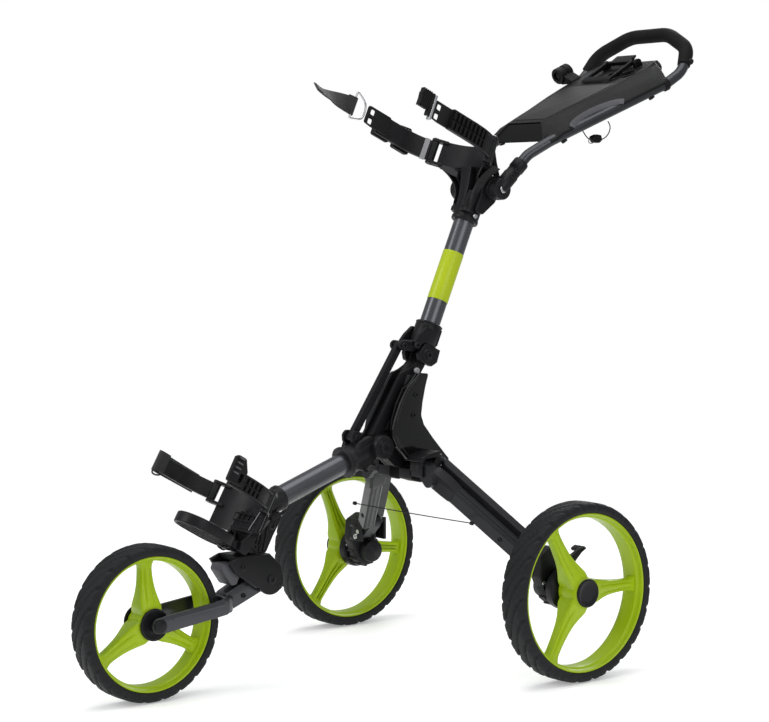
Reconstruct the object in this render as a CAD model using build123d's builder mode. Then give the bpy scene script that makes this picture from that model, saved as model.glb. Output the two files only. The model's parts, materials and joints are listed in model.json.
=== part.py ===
from build123d import *
import os
from math import cos, radians, sin, tan

os.makedirs("parts", exist_ok=True)

# A three-wheel golf push cart that folds. Millimetres, +X is the direction of travel, +Y is the
# cart's left side and +Z is up. Heights are above the ground and lengths run forward of the rear
# axle, which at() and flat() turn into the part's own frame.

# Driving dimensions
REAR_AXLE_X = -136.125  # the origin lies on the ground under the middle of the bounding box
TRACK = 618.0
WHEELBASE = 624.5
REAR_WHEEL_R = 146.0
FRONT_WHEEL_R = 122.7
TYRE_WIDTH = 51.0
TYRE_SECTION = 17.0  # tread height above the rim lip
RIM_WIDTH = 44.0
RIM_LIP = 2.5
RIM_BARREL = 8.0  # lip radius less the barrel's inner radius
AXLE_R = 6.0
RUNNING = 0.05  # radial clearance of every pin and axle
GAP = 0.4  # clearance between bodies that pass each other

TUBE_R = 17.5  # boom tube and upper tube
TUBE_WALL = 1.8
TUBE_LEAN = 23.9  # degrees back from vertical
BOOM_DROP = 19.8  # degrees below horizontal
BAG_LEAN = 30.0  # degrees back from vertical, of the lower cradle
PIN_R = 4.0
HUB_PIN_R = 6.0

HANDLE_R = 9.5
HANDLE_WALL = 1.6
GRIP_R = 13.0

# Pivots of the folding frame, as (forward, height)
HUB_PIVOT = (178.0, 368.0)
STRUT_FOOT = (222.7, 385.5)
STRUT_HEAD = (122.6, 534.4)
COLLAR_PIVOT = (77.9, 516.9)  # with the three above this makes an exact parallelogram
TUBE_HINGE = (101.0, 535.0)
FORK_PIVOT = (407.0, 171.0)
DRUM = (-58.0, 797.0)
BOOM_MARK = (241.7, 343.3)  # on the boom's axis, at the front face of the hub

# Rear legs: left side values, mirrored for the right
LEG_TOP = (116.3, 62.0, 333.4)
LEG_FOOT = (22.3, 222.0, 184.5)
LINK_OFFSET = (-30.0, 0.0, 14.0)


def at(forward, height, left=0.0):
    """A point given forward of the rear axle."""
    return Vector(REAR_AXLE_X + forward, left, height)


def flat(*points):
    """Points of a side view."""
    return [(REAR_AXLE_X + forward, height) for forward, height in points]


def side_view(left):
    """The plane of a side view, where extruding goes from left to right."""
    return Plane(origin=(0, left, 0), x_dir=(1, 0, 0), z_dir=(0, -1, 0))


def across(forward):
    """The view from the front: X of the sketch is left and Y is up."""
    return Plane(origin=at(forward, 0), x_dir=(0, 1, 0), z_dir=(1, 0, 0))


def tilted(origin, degrees_back):
    """A frame whose Z leans back from vertical, with X forward and Y left."""
    lean = radians(degrees_back)
    return Plane(origin=origin, x_dir=(cos(lean), 0, sin(lean)), z_dir=(-sin(lean), 0, cos(lean)))


def edge_on(frame, left):
    """The side view of a tilted frame: X and Y of the sketch are the frame's X and Z."""
    return Plane(origin=frame.origin + Vector(0, left, 0), x_dir=frame.x_dir, z_dir=(0, -1, 0))


def local(frame, pivot):
    """A centre-plane point in a tilted frame's own X and Z."""
    seen = frame.to_local_coords(at(*pivot))
    return (seen.X, seen.Z)


def wheel_frame(centre):
    """A frame for turned parts: X is the radius and Y the wheel's own axis."""
    return Plane(origin=centre, x_dir=(1, 0, 0), z_dir=(0, 0, 1))


def wheel_side(centre, left):
    """A wheel's side view, left of its middle, where extruding goes from left to right."""
    return Plane(origin=centre + Vector(0, left, 0), x_dir=(1, 0, 0), z_dir=(0, -1, 0))


def save(name, part):
    """Labels a finished piece and writes it."""
    part.label = name
    export_step(part, f"parts/{name}.step")


def cross_pin(forward, height, radius, left, right, mode=Mode.ADD):
    """A round pin across the cart, added to the part being built, or a bore cut from it."""
    with BuildSketch(side_view(max(left, right))) as pin:
        with Locations(*flat((forward, height))):
            Circle(radius)
    extrude(pin.sketch, amount=abs(left - right), mode=mode)


UPPER = tilted(at(*COLLAR_PIVOT), TUBE_LEAN)
LOWER = tilted(at(395.0, 288.1), BAG_LEAN)
BOOM = Plane(
    origin=at(*BOOM_MARK),
    x_dir=(sin(radians(BOOM_DROP)), 0, cos(radians(BOOM_DROP))),
    z_dir=(cos(radians(BOOM_DROP)), 0, -sin(radians(BOOM_DROP))),
)
BOOM_LENGTH = 172.0
BOOM_TAIL = -24.0  # the tube's rear end inside the hub


def boom_side(left):
    """The boom's side view: X runs forward along the boom and Y away from it, upward."""
    return Plane(origin=BOOM.origin + Vector(0, left, 0), x_dir=BOOM.z_dir, z_dir=(0, -1, 0))


# ---------------------------------------------------------------- boom, the lower frame

with BuildPart() as boom_tube:
    with BuildSketch(BOOM.offset(BOOM_TAIL)):
        Circle(TUBE_R)
        Circle(TUBE_R - TUBE_WALL, mode=Mode.SUBTRACT)
    extrude(amount=BOOM_LENGTH - BOOM_TAIL)
save("boom_tube", boom_tube.part)

HUB_EAR_R = 20.0
HUB_EAR_IN = 15.0
HUB_EAR_OUT = 33.5
HUB_REACH = -68.3  # along the boom, from its mark to the hub pivot
HUB_SOCKET_R = 23.5

with BuildPart() as boom_hub:
    with BuildSketch(BOOM.offset(-42.0)):
        Circle(HUB_SOCKET_R)
    extrude(amount=42.0)
    with BuildSketch(BOOM.offset(-7.0)):
        Circle(HUB_SOCKET_R + 3.0)
    extrude(amount=7.0)
    fillet(boom_hub.faces().sort_by(Axis((0, 0, 0), BOOM.z_dir))[-1].edges(), radius=1.2)
    for outer in (HUB_EAR_OUT, -HUB_EAR_IN):
        with BuildSketch(boom_side(outer)):
            with Locations((HUB_REACH, 1.6)):
                Circle(HUB_EAR_R)
        extrude(amount=HUB_EAR_OUT - HUB_EAR_IN)
    for outer in (27.0, -HUB_EAR_IN):
        with BuildSketch(boom_side(outer)):
            Polygon(
                (HUB_REACH + 2, 20), (-38, 26), (-14, 23), (-14, -22), (-40, -23), (HUB_REACH + 2, -18),
                align=None,
            )
        extrude(amount=27.0 - HUB_EAR_IN)
    for outer in (14.0, -9.0):
        with BuildSketch(boom_side(outer)):
            with BuildLine():
                Polyline((-44, 18), (-41.5, 33), (-32.2, 42.5), (-24, 38), (-18, 18), close=True)
            make_face()
        extrude(amount=5.0)
    with BuildSketch(BOOM.offset(BOOM_TAIL)):
        Circle(TUBE_R)
    extrude(amount=-BOOM_TAIL, mode=Mode.SUBTRACT)
    with BuildSketch(side_view(60)):
        with Locations(*flat(HUB_PIVOT)):
            Circle(HUB_PIN_R)
        with Locations(*flat(STRUT_FOOT)):
            Circle(PIN_R)
    extrude(amount=120, mode=Mode.SUBTRACT)
save("boom_hub", boom_hub.part)

# ---------------------------------------------------------------- lower bag bracket

CRADLE_R = 93.0  # inner radius of both bag cradles
CRADLE_THICK = 7.0
SADDLE_HALF = 128.0  # degrees from straight ahead to the saddle's end
LOWER_CENTRE = 112.0  # forward of the lower frame's origin


def wedge(centre, start, stop):
    """A triangle that keeps the directions from start to stop degrees of a circle."""
    reach = 4 * CRADLE_R
    angles = [radians(a) for a in (start, (start + stop) / 2, stop)]
    corners = [(centre + reach * cos(a), reach * sin(a)) for a in angles]
    Polygon((centre, 0), *corners, align=None, mode=Mode.INTERSECT)


def saddle(frame, centre, low, high):
    """The fixed back of a cradle, added to the part being built."""
    with BuildSketch(frame.offset(low)) as back:
        with Locations((centre, 0)):
            Circle(CRADLE_R + CRADLE_THICK)
            Circle(CRADLE_R, mode=Mode.SUBTRACT)
        wedge(centre, SADDLE_HALF + 8, 360 - SADDLE_HALF - 8)
    extrude(back.sketch, amount=high - low)


def arm_pivot(centre, side):
    """Where a cradle arm hinges, in its cradle's frame."""
    radius = CRADLE_R + CRADLE_THICK / 2
    return (centre + radius * cos(radians(SADDLE_HALF)), side * radius * sin(radians(SADDLE_HALF)))


def arm_lugs(frame, centre, low, high):
    """Forks that hold the cradle arms' hinge pins, added to the part being built."""
    for side in (1, -1):
        x, y = arm_pivot(centre, side)
        inner = (centre + (CRADLE_R + 3) * cos(radians(SADDLE_HALF + 14)),
                 side * (CRADLE_R + 3) * sin(radians(SADDLE_HALF + 14)))
        for bottom in (low, high - 5.0):
            with BuildSketch(frame.offset(bottom)) as lug:
                SlotCenterPoint(((x + inner[0]) / 2, (y + inner[1]) / 2), (x, y), 15.0)
            extrude(lug.sketch, amount=5.0)
        with BuildSketch(frame.offset(low)) as pin:
            with Locations((x, y)):
                Circle(3.0)
        extrude(pin.sketch, amount=high - low)


def cradle_arm(frame, centre, low, high, side, tip):
    """One arm of a cradle: round the bag, then straight forward to its tip."""
    x, y = arm_pivot(centre, side)
    thick = CRADLE_THICK + 2
    with BuildPart() as arm:
        with BuildSketch(frame.offset(low)):
            with Locations((centre, 0)):
                Circle(CRADLE_R + thick)
                Circle(CRADLE_R, mode=Mode.SUBTRACT)
            wedge(centre, *((90, SADDLE_HALF) if side > 0 else (360 - SADDLE_HALF, 270)))
            with Locations(((centre + tip) / 2, side * (CRADLE_R + thick / 2))):
                Rectangle(tip - centre, thick)
            with Locations((x, y)):
                Circle(7.0)
                Circle(3.0 + RUNNING, mode=Mode.SUBTRACT)
        extrude(amount=high - low)
    return arm.part


LOWER_LOW, LOWER_HIGH = -30.0, 8.0
RING_PIVOT = (26.0, -86.0)
with BuildPart() as lower_bracket:
    saddle(LOWER, LOWER_CENTRE, -62.0, LOWER_HIGH)
    arm_lugs(LOWER, LOWER_CENTRE, LOWER_LOW, LOWER_HIGH)
    with BuildSketch(BOOM.offset(BOOM_LENGTH - 60)):
        Circle(TUBE_R + 5.5)
    extrude(amount=60)
    for outer in (22.0, -16.0):
        with BuildSketch(side_view(outer)):
            Polygon(
                *flat((352, 290), (402, 270), (440, 262), (448, 236), (446, 214), (384, 214), (372, 240)),
                align=None,
            )
        extrude(amount=6.0)
    with BuildSketch(side_view(22.0)):
        Polygon(
            *flat((412, 296), (440, 262), (444, 214), (430, 214), (420, 250), (398, 278)),
            align=None,
        )
    extrude(amount=44.0)
    with BuildSketch(BOOM.offset(BOOM_LENGTH - 60)):
        Circle(TUBE_R)
    extrude(amount=60, mode=Mode.SUBTRACT)
    for outer in (32.0, -26.0):
        with BuildSketch(edge_on(LOWER, outer)):
            with Locations(RING_PIVOT):
                Circle(9.0)
            Polygon((14, -60), (23, -60), (28, -86), (17, -86), align=None)
        extrude(amount=6.0)
    with BuildSketch(edge_on(LOWER, 40.0)):
        with Locations(RING_PIVOT):
            Circle(3.0)
    extrude(amount=80.0, mode=Mode.SUBTRACT)
save("lower_bracket", lower_bracket.part)

LOBE_R = 29.0
with BuildPart() as fork_mount:
    for outer in (30.0, -22.0):
        with BuildSketch(side_view(outer)):
            with Locations(*flat(FORK_PIVOT)):
                Circle(LOBE_R)
            Polygon(
                *flat((379, 165), (381, 213.5), (470, 213.5), (489, 206), (474, 186), (428, 151)),
                align=None,
            )
        extrude(amount=8.0)
    with BuildSketch(side_view(22.0)):
        Polygon(*flat((381, 213.5), (470, 213.5), (470, 205), (384, 205)), align=None)
    extrude(amount=44.0)
    with BuildSketch(side_view(40.0)):
        with Locations(*flat(FORK_PIVOT)):
            Circle(HUB_PIN_R)
        with Locations(*flat((462, 196))):
            Circle(3.0)
    extrude(amount=80.0, mode=Mode.SUBTRACT)
save("fork_mount", fork_mount.part)

with BuildPart() as frame_pins:
    cross_pin(*HUB_PIVOT, HUB_PIN_R, 36.5, -36.5)
    cross_pin(*STRUT_FOOT, PIN_R, 16.5, -16.5)
    cross_pin(*FORK_PIVOT, HUB_PIN_R, 32.5, -32.5)
    cross_pin(462, 196, 3.0, 32.0, -32.0)
    with BuildSketch(edge_on(LOWER, 34.0)):
        with Locations(RING_PIVOT):
            Circle(3.0)
    extrude(amount=68.0)
save("frame_pins", frame_pins.part)

RING_LOW, RING_HIGH = -95.0, -77.0
RING_WIDTH = 74.0
RING_FRONT = 142.0
RING_WALL = 6.0
with BuildPart() as bag_rest_ring:
    with BuildSketch(LOWER.offset(RING_LOW)):
        with Locations((88, 0)):
            SlotOverall(RING_FRONT - 34, RING_WIDTH)
            SlotOverall(RING_FRONT - 34 - 2 * RING_WALL, RING_WIDTH - 2 * RING_WALL, mode=Mode.SUBTRACT)
    extrude(amount=RING_HIGH - RING_LOW)
    with BuildSketch(LOWER.offset(RING_LOW + 2)):
        for y in (-15.0, 0.0, 15.0):
            with Locations((88, y)):
                Rectangle(RING_FRONT - 46, 4.0)
    extrude(amount=5.0)
    with BuildSketch(edge_on(LOWER, 25.0)):
        with Locations(RING_PIVOT):
            Circle(8.5)
        Polygon((26, -77.5), (42, -79), (42, -93), (26, -94.5), align=None)
    extrude(amount=50.0)
    with BuildSketch(edge_on(LOWER, 25.0)):
        with Locations(RING_PIVOT):
            Circle(3.0 + RUNNING)
    extrude(amount=50.0, mode=Mode.SUBTRACT)
save("bag_rest_ring", bag_rest_ring.part)

LOWER_TIP = 150.0
arm_band = (LOWER_LOW + 5 + GAP, LOWER_HIGH - 5 - GAP)
save("lower_arm_left", cradle_arm(LOWER, LOWER_CENTRE, *arm_band, 1, LOWER_TIP))
save("lower_arm_right", cradle_arm(LOWER, LOWER_CENTRE, *arm_band, -1, LOWER_TIP))

ARM_OUT = CRADLE_R + CRADLE_THICK + 2
with BuildPart() as lower_buckle:
    with BuildSketch(edge_on(LOWER, ARM_OUT + 8)):
        with BuildLine():
            FilletPolyline(
                (132, -22), (162, -22), (162, 22), (144, 22), (132, 4),
                radius=4, close=True,
            )
        make_face()
    extrude(amount=7.5)
    with BuildSketch(edge_on(LOWER, ARM_OUT + 11)):
        for step in range(4):
            with Locations((153, -6 + 8 * step)):
                Rectangle(15, 4)
    extrude(amount=4)
save("lower_buckle", lower_buckle.part)

STRAP_THICK = 3.0
with BuildPart() as lower_strap:
    with BuildSketch(edge_on(LOWER, -ARM_OUT - GAP)):
        with BuildLine():
            FilletPolyline(
                (78, -27), (158, -27), (166, -16), (166, 4), (158, 12), (78, 8),
                radius=4, close=True,
            )
        make_face()
    extrude(amount=STRAP_THICK + 2)
    with BuildSketch(edge_on(LOWER, -CRADLE_R + 6)):
        with BuildLine():
            FilletPolyline(
                (152, -27), (158, -27), (166, -16), (166, 4), (158, 12), (152, 8),
                radius=2.5, close=True,
            )
        make_face()
    extrude(amount=ARM_OUT - CRADLE_R + 8)
save("lower_strap", lower_strap.part)

# ---------------------------------------------------------------- spine, covers and brace

SPINE_HALF = 14.0
COVER_IN, COVER_OUT = 34.5, 38.5
COVER_OUTLINE = (
    (108, 488), (135, 466), (150, 440), (162, 412), (166, 396), (165, 384), (156, 367),
    (132, 344), (114, 334), (46, 333), (43, 341), (52, 350), (78, 378), (98, 402),
    (104, 418), (101, 440), (95, 466), (88, 488),
)
COVER_SCREWS = ((117, 453), (122, 419), (113, 353), (59, 344))

with BuildPart() as spine_casting:
    with BuildSketch(side_view(SPINE_HALF)):
        with Locations(*flat(COLLAR_PIVOT)):
            Circle(12.0)
        with Locations(*flat(HUB_PIVOT)):
            Circle(14.0)
        Polygon(
            *flat((84, 526.5), (90.5, 511), (102, 500), (114, 493.5), (128.5, 488.5), (137, 476), (190, 389),
                  (188, 360), (168, 355), (140, 331), (62, 331), (66, 344), (100, 384), (108, 420), (102, 446),
                  (90, 480), (66.5, 513)),
            align=None,
        )
    extrude(amount=2 * SPINE_HALF)
    # the brace folds into this channel down the spine's front
    with BuildSketch(side_view(9.0)):
        Polygon(*flat((96, 540), (119, 498), (192, 389.5), (230, 420), (160, 540)), align=None)
    extrude(amount=18.0, mode=Mode.SUBTRACT)
    for side in (1, -1):
        # stand-offs between the spine and its cover
        for forward, height in COVER_SCREWS[:2]:
            cross_pin(forward, height, 6.0, side * SPINE_HALF, side * COVER_IN)
            cross_pin(forward, height, 2.0, side * (COVER_IN - 9), side * COVER_IN, mode=Mode.SUBTRACT)
        # forked mount for the leg and its link
        with BuildSketch(side_view(max(side * (SPINE_HALF - 1), side * 46.0))):
            Polygon(
                *flat((72, 331), (132, 331), (132, 312), (112, 306), (90, 308), (72, 318)),
                align=None,
            )
        extrude(amount=46.0 - SPINE_HALF + 1)
        with BuildSketch(side_view(max(side * 42.0, side * 74.0))):
            with BuildLine():
                FilletPolyline(
                    *flat((90.7, 314), (132, 314), (132, 348), (108, 352), (90.7, 358)),
                    radius=4, close=True,
                )
            make_face()
        extrude(amount=32.0)
        for offset, half in (((0, 0, 0), 11.5 + GAP), (LINK_OFFSET, 4.0 + GAP)):
            with BuildSketch(across(LEG_TOP[0] + offset[0] - half)):
                with Locations((side * 100, 340)):
                    Rectangle(2 * (100 - 46), 200)
            extrude(amount=2 * half, mode=Mode.SUBTRACT)
        for offset in ((0, 0, 0), LINK_OFFSET):
            top = [a + b for a, b in zip(LEG_TOP, offset)]
            with BuildSketch(across(0)):
                with Locations((side * top[1], top[2])):
                    Circle(PIN_R)
            extrude(amount=400, mode=Mode.SUBTRACT)
    with BuildSketch(side_view(80)):
        with Locations(*flat(HUB_PIVOT)):
            Circle(HUB_PIN_R + RUNNING)
        with Locations(*flat(COLLAR_PIVOT)):
            Circle(PIN_R + RUNNING)
    extrude(amount=160, mode=Mode.SUBTRACT)
save("spine_casting", spine_casting.part)

for name, side in (("cover_left", 1), ("cover_right", -1)):
    with BuildPart() as cover:
        with BuildSketch(side_view(max(side * COVER_IN, side * COVER_OUT))) as face:
            Polygon(*flat(*COVER_OUTLINE), align=None)
            fillet(face.vertices(), radius=1.5)
            with Locations(*flat(*COVER_SCREWS)):
                Circle(2.0, mode=Mode.SUBTRACT)
        extrude(amount=COVER_OUT - COVER_IN)
    save(name, cover.part)

with BuildPart() as spine_fasteners:
    for side in (1, -1):
        for forward, height in COVER_SCREWS:
            cross_pin(forward, height, 2.0, side * (COVER_OUT + 1.5), side * (COVER_IN - 9))
            cross_pin(forward, height, 3.6, side * (COVER_OUT + 2.5), side * COVER_OUT)
        for offset, back, front in (((0, 0, 0), -14.0, 16.0), (LINK_OFFSET, -6.0, 15.0)):
            top = [a + b for a, b in zip(LEG_TOP, offset)]
            with BuildSketch(across(top[0] + back)):
                with Locations((side * top[1], top[2])):
                    Circle(PIN_R)
            extrude(amount=front - back)
save("spine_fasteners", spine_fasteners.part)

with BuildPart() as release_button:
    cross_pin(100, 492, 5.0, 24.0, SPINE_HALF + 4.5)
    fillet(release_button.edges().sort_by(Axis.Y)[-1], radius=1.5)
save("release_button", release_button.part)

STRUT_HALF = 7.0
STRUT_WIDTH = 13.0
with BuildPart() as brace_strut:
    with BuildSketch(side_view(STRUT_HALF)):
        foot, head = flat(STRUT_FOOT, STRUT_HEAD)
        SlotCenterPoint(((foot[0] + head[0]) / 2, (foot[1] + head[1]) / 2), head, STRUT_WIDTH)
        with Locations(foot):
            Circle(PIN_R + RUNNING, mode=Mode.SUBTRACT)
        with Locations(head):
            Circle(PIN_R + 0.6, mode=Mode.SUBTRACT)
    extrude(amount=2 * STRUT_HALF)
save("brace_strut", brace_strut.part)

# ---------------------------------------------------------------- collar and upper tube

HINGE_LOCAL = local(UPPER, TUBE_HINGE)
HEAD_LOCAL = local(UPPER, STRUT_HEAD)
with BuildPart() as collar_casting:
    for outer in (24.0, -SPINE_HALF - GAP):
        with BuildSketch(edge_on(UPPER, outer)):
            Circle(15.0)
            Polygon((-22, 13), (12, 13), (16, 7), (20, -4), (12, -15), (-15, -15), (-24, -4), align=None)
        extrude(amount=24.0 - SPINE_HALF - GAP)
    with BuildSketch(edge_on(UPPER, 24.0)):
        Polygon((-22, 12.6), (-22, 17.6), (12, 17.6), (12, 12.6), align=None)
    extrude(amount=48.0)
    with BuildSketch(edge_on(UPPER, 14.6)):
        with Locations(HINGE_LOCAL):
            Circle(8.0)
        Polygon((8, 17.6), (28, 15), (28, -0.5), (18, 7), (8, 12.8), align=None)
    extrude(amount=29.2)
    for outer in (14.0, -9.0):
        with BuildSketch(edge_on(UPPER, outer)):
            with Locations(HEAD_LOCAL):
                Circle(8.5)
            Polygon((18, 7.1), (24, 13), (47, 6.3), (44, -9.8), (22, -2), align=None)
        extrude(amount=5.0)
    with BuildSketch(edge_on(UPPER, 30.0)):
        Circle(PIN_R)
        with Locations(HEAD_LOCAL):
            Circle(PIN_R)
        with Locations(HINGE_LOCAL):
            Circle(PIN_R)
    extrude(amount=60.0, mode=Mode.SUBTRACT)
save("collar_casting", collar_casting.part)

with BuildPart() as collar_pins:
    cross_pin(*COLLAR_PIVOT, PIN_R, 27.0, -27.0)
    cross_pin(*STRUT_HEAD, PIN_R, 16.5, -16.5)
    with BuildSketch(edge_on(UPPER, 25.5)):
        with Locations(HINGE_LOCAL):
            Circle(PIN_R)
    extrude(amount=51.0)
save("collar_pins", collar_pins.part)

SOCKET_LOW, SOCKET_HIGH = 18.0, 56.0
TUBE_TOP = 296.0
with BuildPart() as tube_socket:
    with BuildSketch(UPPER.offset(SOCKET_LOW)):
        Circle(TUBE_R + 5.5)
    extrude(amount=SOCKET_HIGH - SOCKET_LOW)
    chamfer(tube_socket.faces().sort_by(Axis((0, 0, 0), UPPER.z_dir))[-1].edges(), length=1.5)
    for outer in (22.5, -14.6 - GAP):
        with BuildSketch(edge_on(UPPER, outer)):
            with Locations(HINGE_LOCAL):
                Circle(8.0)
            Polygon(
                (6, 18.5), (13, 18.5), (21, 9), (36, 9), (30, 26), (20, 44), (6, 44),
                align=None,
            )
        extrude(amount=22.5 - 14.6 - GAP)
    with BuildSketch(UPPER.offset(SOCKET_LOW + 4)):
        Circle(TUBE_R)
    extrude(amount=SOCKET_HIGH, mode=Mode.SUBTRACT)
    with BuildSketch(edge_on(UPPER, 40.0)):
        with Locations(HINGE_LOCAL):
            Circle(PIN_R + RUNNING)
    extrude(amount=80.0, mode=Mode.SUBTRACT)
save("tube_socket", tube_socket.part)

with BuildPart() as upper_tube:
    with BuildSketch(UPPER.offset(SOCKET_LOW + 4)):
        Circle(TUBE_R)
        Circle(TUBE_R - TUBE_WALL, mode=Mode.SUBTRACT)
    extrude(amount=TUBE_TOP - SOCKET_LOW - 4)
save("upper_tube", upper_tube.part)

BAND_LOW, BAND_HIGH = 98.5, 187.0
with BuildPart() as tube_band:
    with BuildSketch(UPPER.offset(BAND_LOW)):
        Circle(TUBE_R + 0.6)
        Circle(TUBE_R, mode=Mode.SUBTRACT)
    extrude(amount=BAND_HIGH - BAND_LOW)
save("tube_band", tube_band.part)

# ---------------------------------------------------------------- upper bag bracket

UPPER_CENTRE = 115.0
UPPER_LOW, UPPER_HIGH = 331.0, 377.0
SLEEVE_LOW, SLEEVE_HIGH = 245.0, 297.0
DRUM_LOCAL = local(UPPER, DRUM)
DRUM_R = 18.5
DRUM_IN, DRUM_OUT = 33.5, 60.0

with BuildPart() as upper_bracket:
    with BuildSketch(UPPER.offset(SLEEVE_LOW)):
        Circle(TUBE_R + 6.0)
    extrude(amount=SLEEVE_HIGH - SLEEVE_LOW)
    # the sleeve flares into a wide wing under the cradle
    with BuildSketch(UPPER.offset(SLEEVE_HIGH - 26)):
        Circle(TUBE_R + 5.0)
    with BuildSketch(UPPER.offset(UPPER_LOW + 4)):
        with Locations((32, 0)):
            Ellipse(12, 66)
    loft()
    saddle(UPPER, UPPER_CENTRE, UPPER_LOW, UPPER_HIGH)
    arm_lugs(UPPER, UPPER_CENTRE, UPPER_LOW, UPPER_HIGH)
    with BuildSketch(edge_on(UPPER, 33.0)):
        with Locations(DRUM_LOCAL):
            Circle(DRUM_R)
        Polygon(
            (8, 296), (22, 330), (22, 372), (12, 376), (-4, 352), (-28, 322), (-24, 292),
            align=None,
        )
    extrude(amount=66.0)
    with BuildSketch(UPPER.offset(SLEEVE_LOW)):
        Circle(TUBE_R)
    extrude(amount=TUBE_TOP - SLEEVE_LOW, mode=Mode.SUBTRACT)
    with BuildSketch(edge_on(UPPER, 40.0)):
        with Locations(DRUM_LOCAL):
            Circle(HUB_PIN_R)
    extrude(amount=80.0, mode=Mode.SUBTRACT)
    for left in (20.0 + 6.5, -20.0):
        with BuildSketch(edge_on(UPPER, left)):
            with Locations((0, 256)):
                Circle(3.5)
        extrude(amount=6.5, mode=Mode.SUBTRACT)
    for side in (1, -1):
        ends = (side * (DRUM_IN - GAP), side * (DRUM_OUT + GAP))
        cross_pin(*DRUM, DRUM_R + GAP, *ends, mode=Mode.SUBTRACT)
save("upper_bracket", upper_bracket.part)

with BuildPart() as bracket_fasteners:
    with BuildSketch(edge_on(UPPER, 62.0)):
        with Locations(DRUM_LOCAL):
            Circle(HUB_PIN_R)
    extrude(amount=124.0)
    for side in (1, -1):
        ends = (side * 26.5, side * 20.0)
        with BuildSketch(edge_on(UPPER, max(ends))):
            with Locations((0, 256)):
                Circle(3.5)
        extrude(amount=6.5)
save("bracket_fasteners", bracket_fasteners.part)

UPPER_TIP = 170.0
arm_band = (UPPER_LOW + 5 + GAP, UPPER_HIGH - 5 - GAP)
save("upper_arm_left", cradle_arm(UPPER, UPPER_CENTRE, *arm_band, 1, UPPER_TIP))
save("upper_arm_right", cradle_arm(UPPER, UPPER_CENTRE, *arm_band, -1, UPPER_TIP))


def slotted_link(side, start, stop, height):
    """A rubber link with two slots, lying against the inside of an arm's tip."""
    left = side * (CRADLE_R - 0.3)
    with BuildPart() as link:
        with BuildSketch(edge_on(UPPER, max(left, left - side * 5.0))):
            with BuildLine():
                FilletPolyline((start, 337), (stop, 340), (stop, 372), (start, 372), radius=3, close=True)
            make_face()
            with Locations((stop - 12, height - 9), (stop - 12, height + 9)):
                SlotOverall(14, 8, rotation=90, mode=Mode.SUBTRACT)
        extrude(amount=5.0)
    return link.part


save("left_link", slotted_link(1, 150, 208, 355))
save("right_link", slotted_link(-1, 150, 204, 355))

with BuildPart() as left_hook:
    with BuildSketch(edge_on(UPPER, 97.0)):
        with BuildLine():
            FilletPolyline((208.5, 337), (214.5, 337), (214.5, 376), (208.5, 376), radius=1.5, close=True)
        make_face()
    extrude(amount=11.0)
    with BuildSketch(edge_on(UPPER, 96.0)):
        with BuildLine():
            FilletPolyline(
                (214.5, 346), (238, 350), (242, 372), (228, 378), (214.5, 366),
                radius=3, close=True,
            )
        make_face()
    extrude(amount=9.0)
save("left_hook", left_hook.part)

with BuildPart() as right_buckle:
    with BuildSketch(edge_on(UPPER, -ARM_OUT - GAP)):
        with BuildLine():
            FilletPolyline((86, 333), (122, 333), (122, 375), (96, 379), (86, 368), radius=4, close=True)
        make_face()
    extrude(amount=11.0)
    with BuildSketch(edge_on(UPPER, -ARM_OUT - GAP)):
        with BuildLine():
            FilletPolyline((134, 334), (172, 334), (172, 374), (134, 374), radius=4, close=True)
        make_face()
    extrude(amount=7.0)
save("right_buckle", right_buckle.part)

WIRE_R = 1.8
RING_CORNERS = ((204, 355), (207, 373), (232, 384), (232, 335), (207, 337), (204, 355))
ring_plane = edge_on(UPPER, -95.0)
with BuildPart() as strap_ring:
    with BuildLine() as wire:
        FilletPolyline(*[ring_plane.from_local_coords(Vector(x, y, 0)) for x, y in RING_CORNERS], radius=4.5)
    with BuildSketch(Plane(origin=wire.line @ 0, z_dir=wire.line % 0)):
        Circle(WIRE_R)
    sweep()
save("strap_ring", strap_ring.part)

with BuildPart() as strap_tail:
    with BuildSketch(UPPER.offset(339.0)):
        with BuildLine():
            Spline((234.5, -97), (262, -104), (290, -100), (316, -96))
            Spline((234.5, -94), (262, -101), (290, -97), (316, -93))
            Line((234.5, -97), (234.5, -94))
            Line((316, -96), (316, -93))
        make_face()
    extrude(amount=34.0)
save("strap_tail", strap_tail.part)

# ---------------------------------------------------------------- handle and console

# Half of the handle's centre line, from its knuckle to the middle of the loop
HANDLE_LINE = (
    (-58, 797, 50), (-112, 856, 62), (-152, 880, 75),
    (-386, 984, 121), (-421, 1042, 121), (-462, 1085, 66),
)
HANDLE_BENDS = (45.0, 60.0, 38.0, 44.0, 52.0)
GRIP_START = (-396, 1000.6, 121)


def mirrored(points):
    """A run of left-side points carried on through its mirror image."""
    there = [at(*point) for point in points]
    return there + [Vector(p.X, -p.Y, p.Z) for p in reversed(there)]


def swept_tube(points, bends, radius, bore):
    """A round tube along straight runs joined by arcs."""
    with BuildPart() as tube:
        with BuildLine() as path:
            FilletPolyline(*points, radius=bends)
        with BuildSketch(Plane(origin=path.line @ 0, z_dir=path.line % 0)):
            Circle(radius)
            if bore:
                Circle(bore, mode=Mode.SUBTRACT)
        sweep()
    return tube.part


bends = HANDLE_BENDS + HANDLE_BENDS[::-1]
start = Vector(*at(*HANDLE_LINE[0]))
step = at(*HANDLE_LINE[1]) - start
handle_points = mirrored(HANDLE_LINE)
handle_points[0] = start + step * 0.3
handle_points[-1] = Vector(handle_points[0].X, -handle_points[0].Y, handle_points[0].Z)
save("handle_tube", swept_tube(handle_points, bends, HANDLE_R, HANDLE_R - HANDLE_WALL))

grip_bends = HANDLE_BENDS[3:] + HANDLE_BENDS[:2:-1]
save("handle_grip", swept_tube(mirrored((GRIP_START,) + HANDLE_LINE[4:]), grip_bends, GRIP_R, HANDLE_R))

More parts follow.
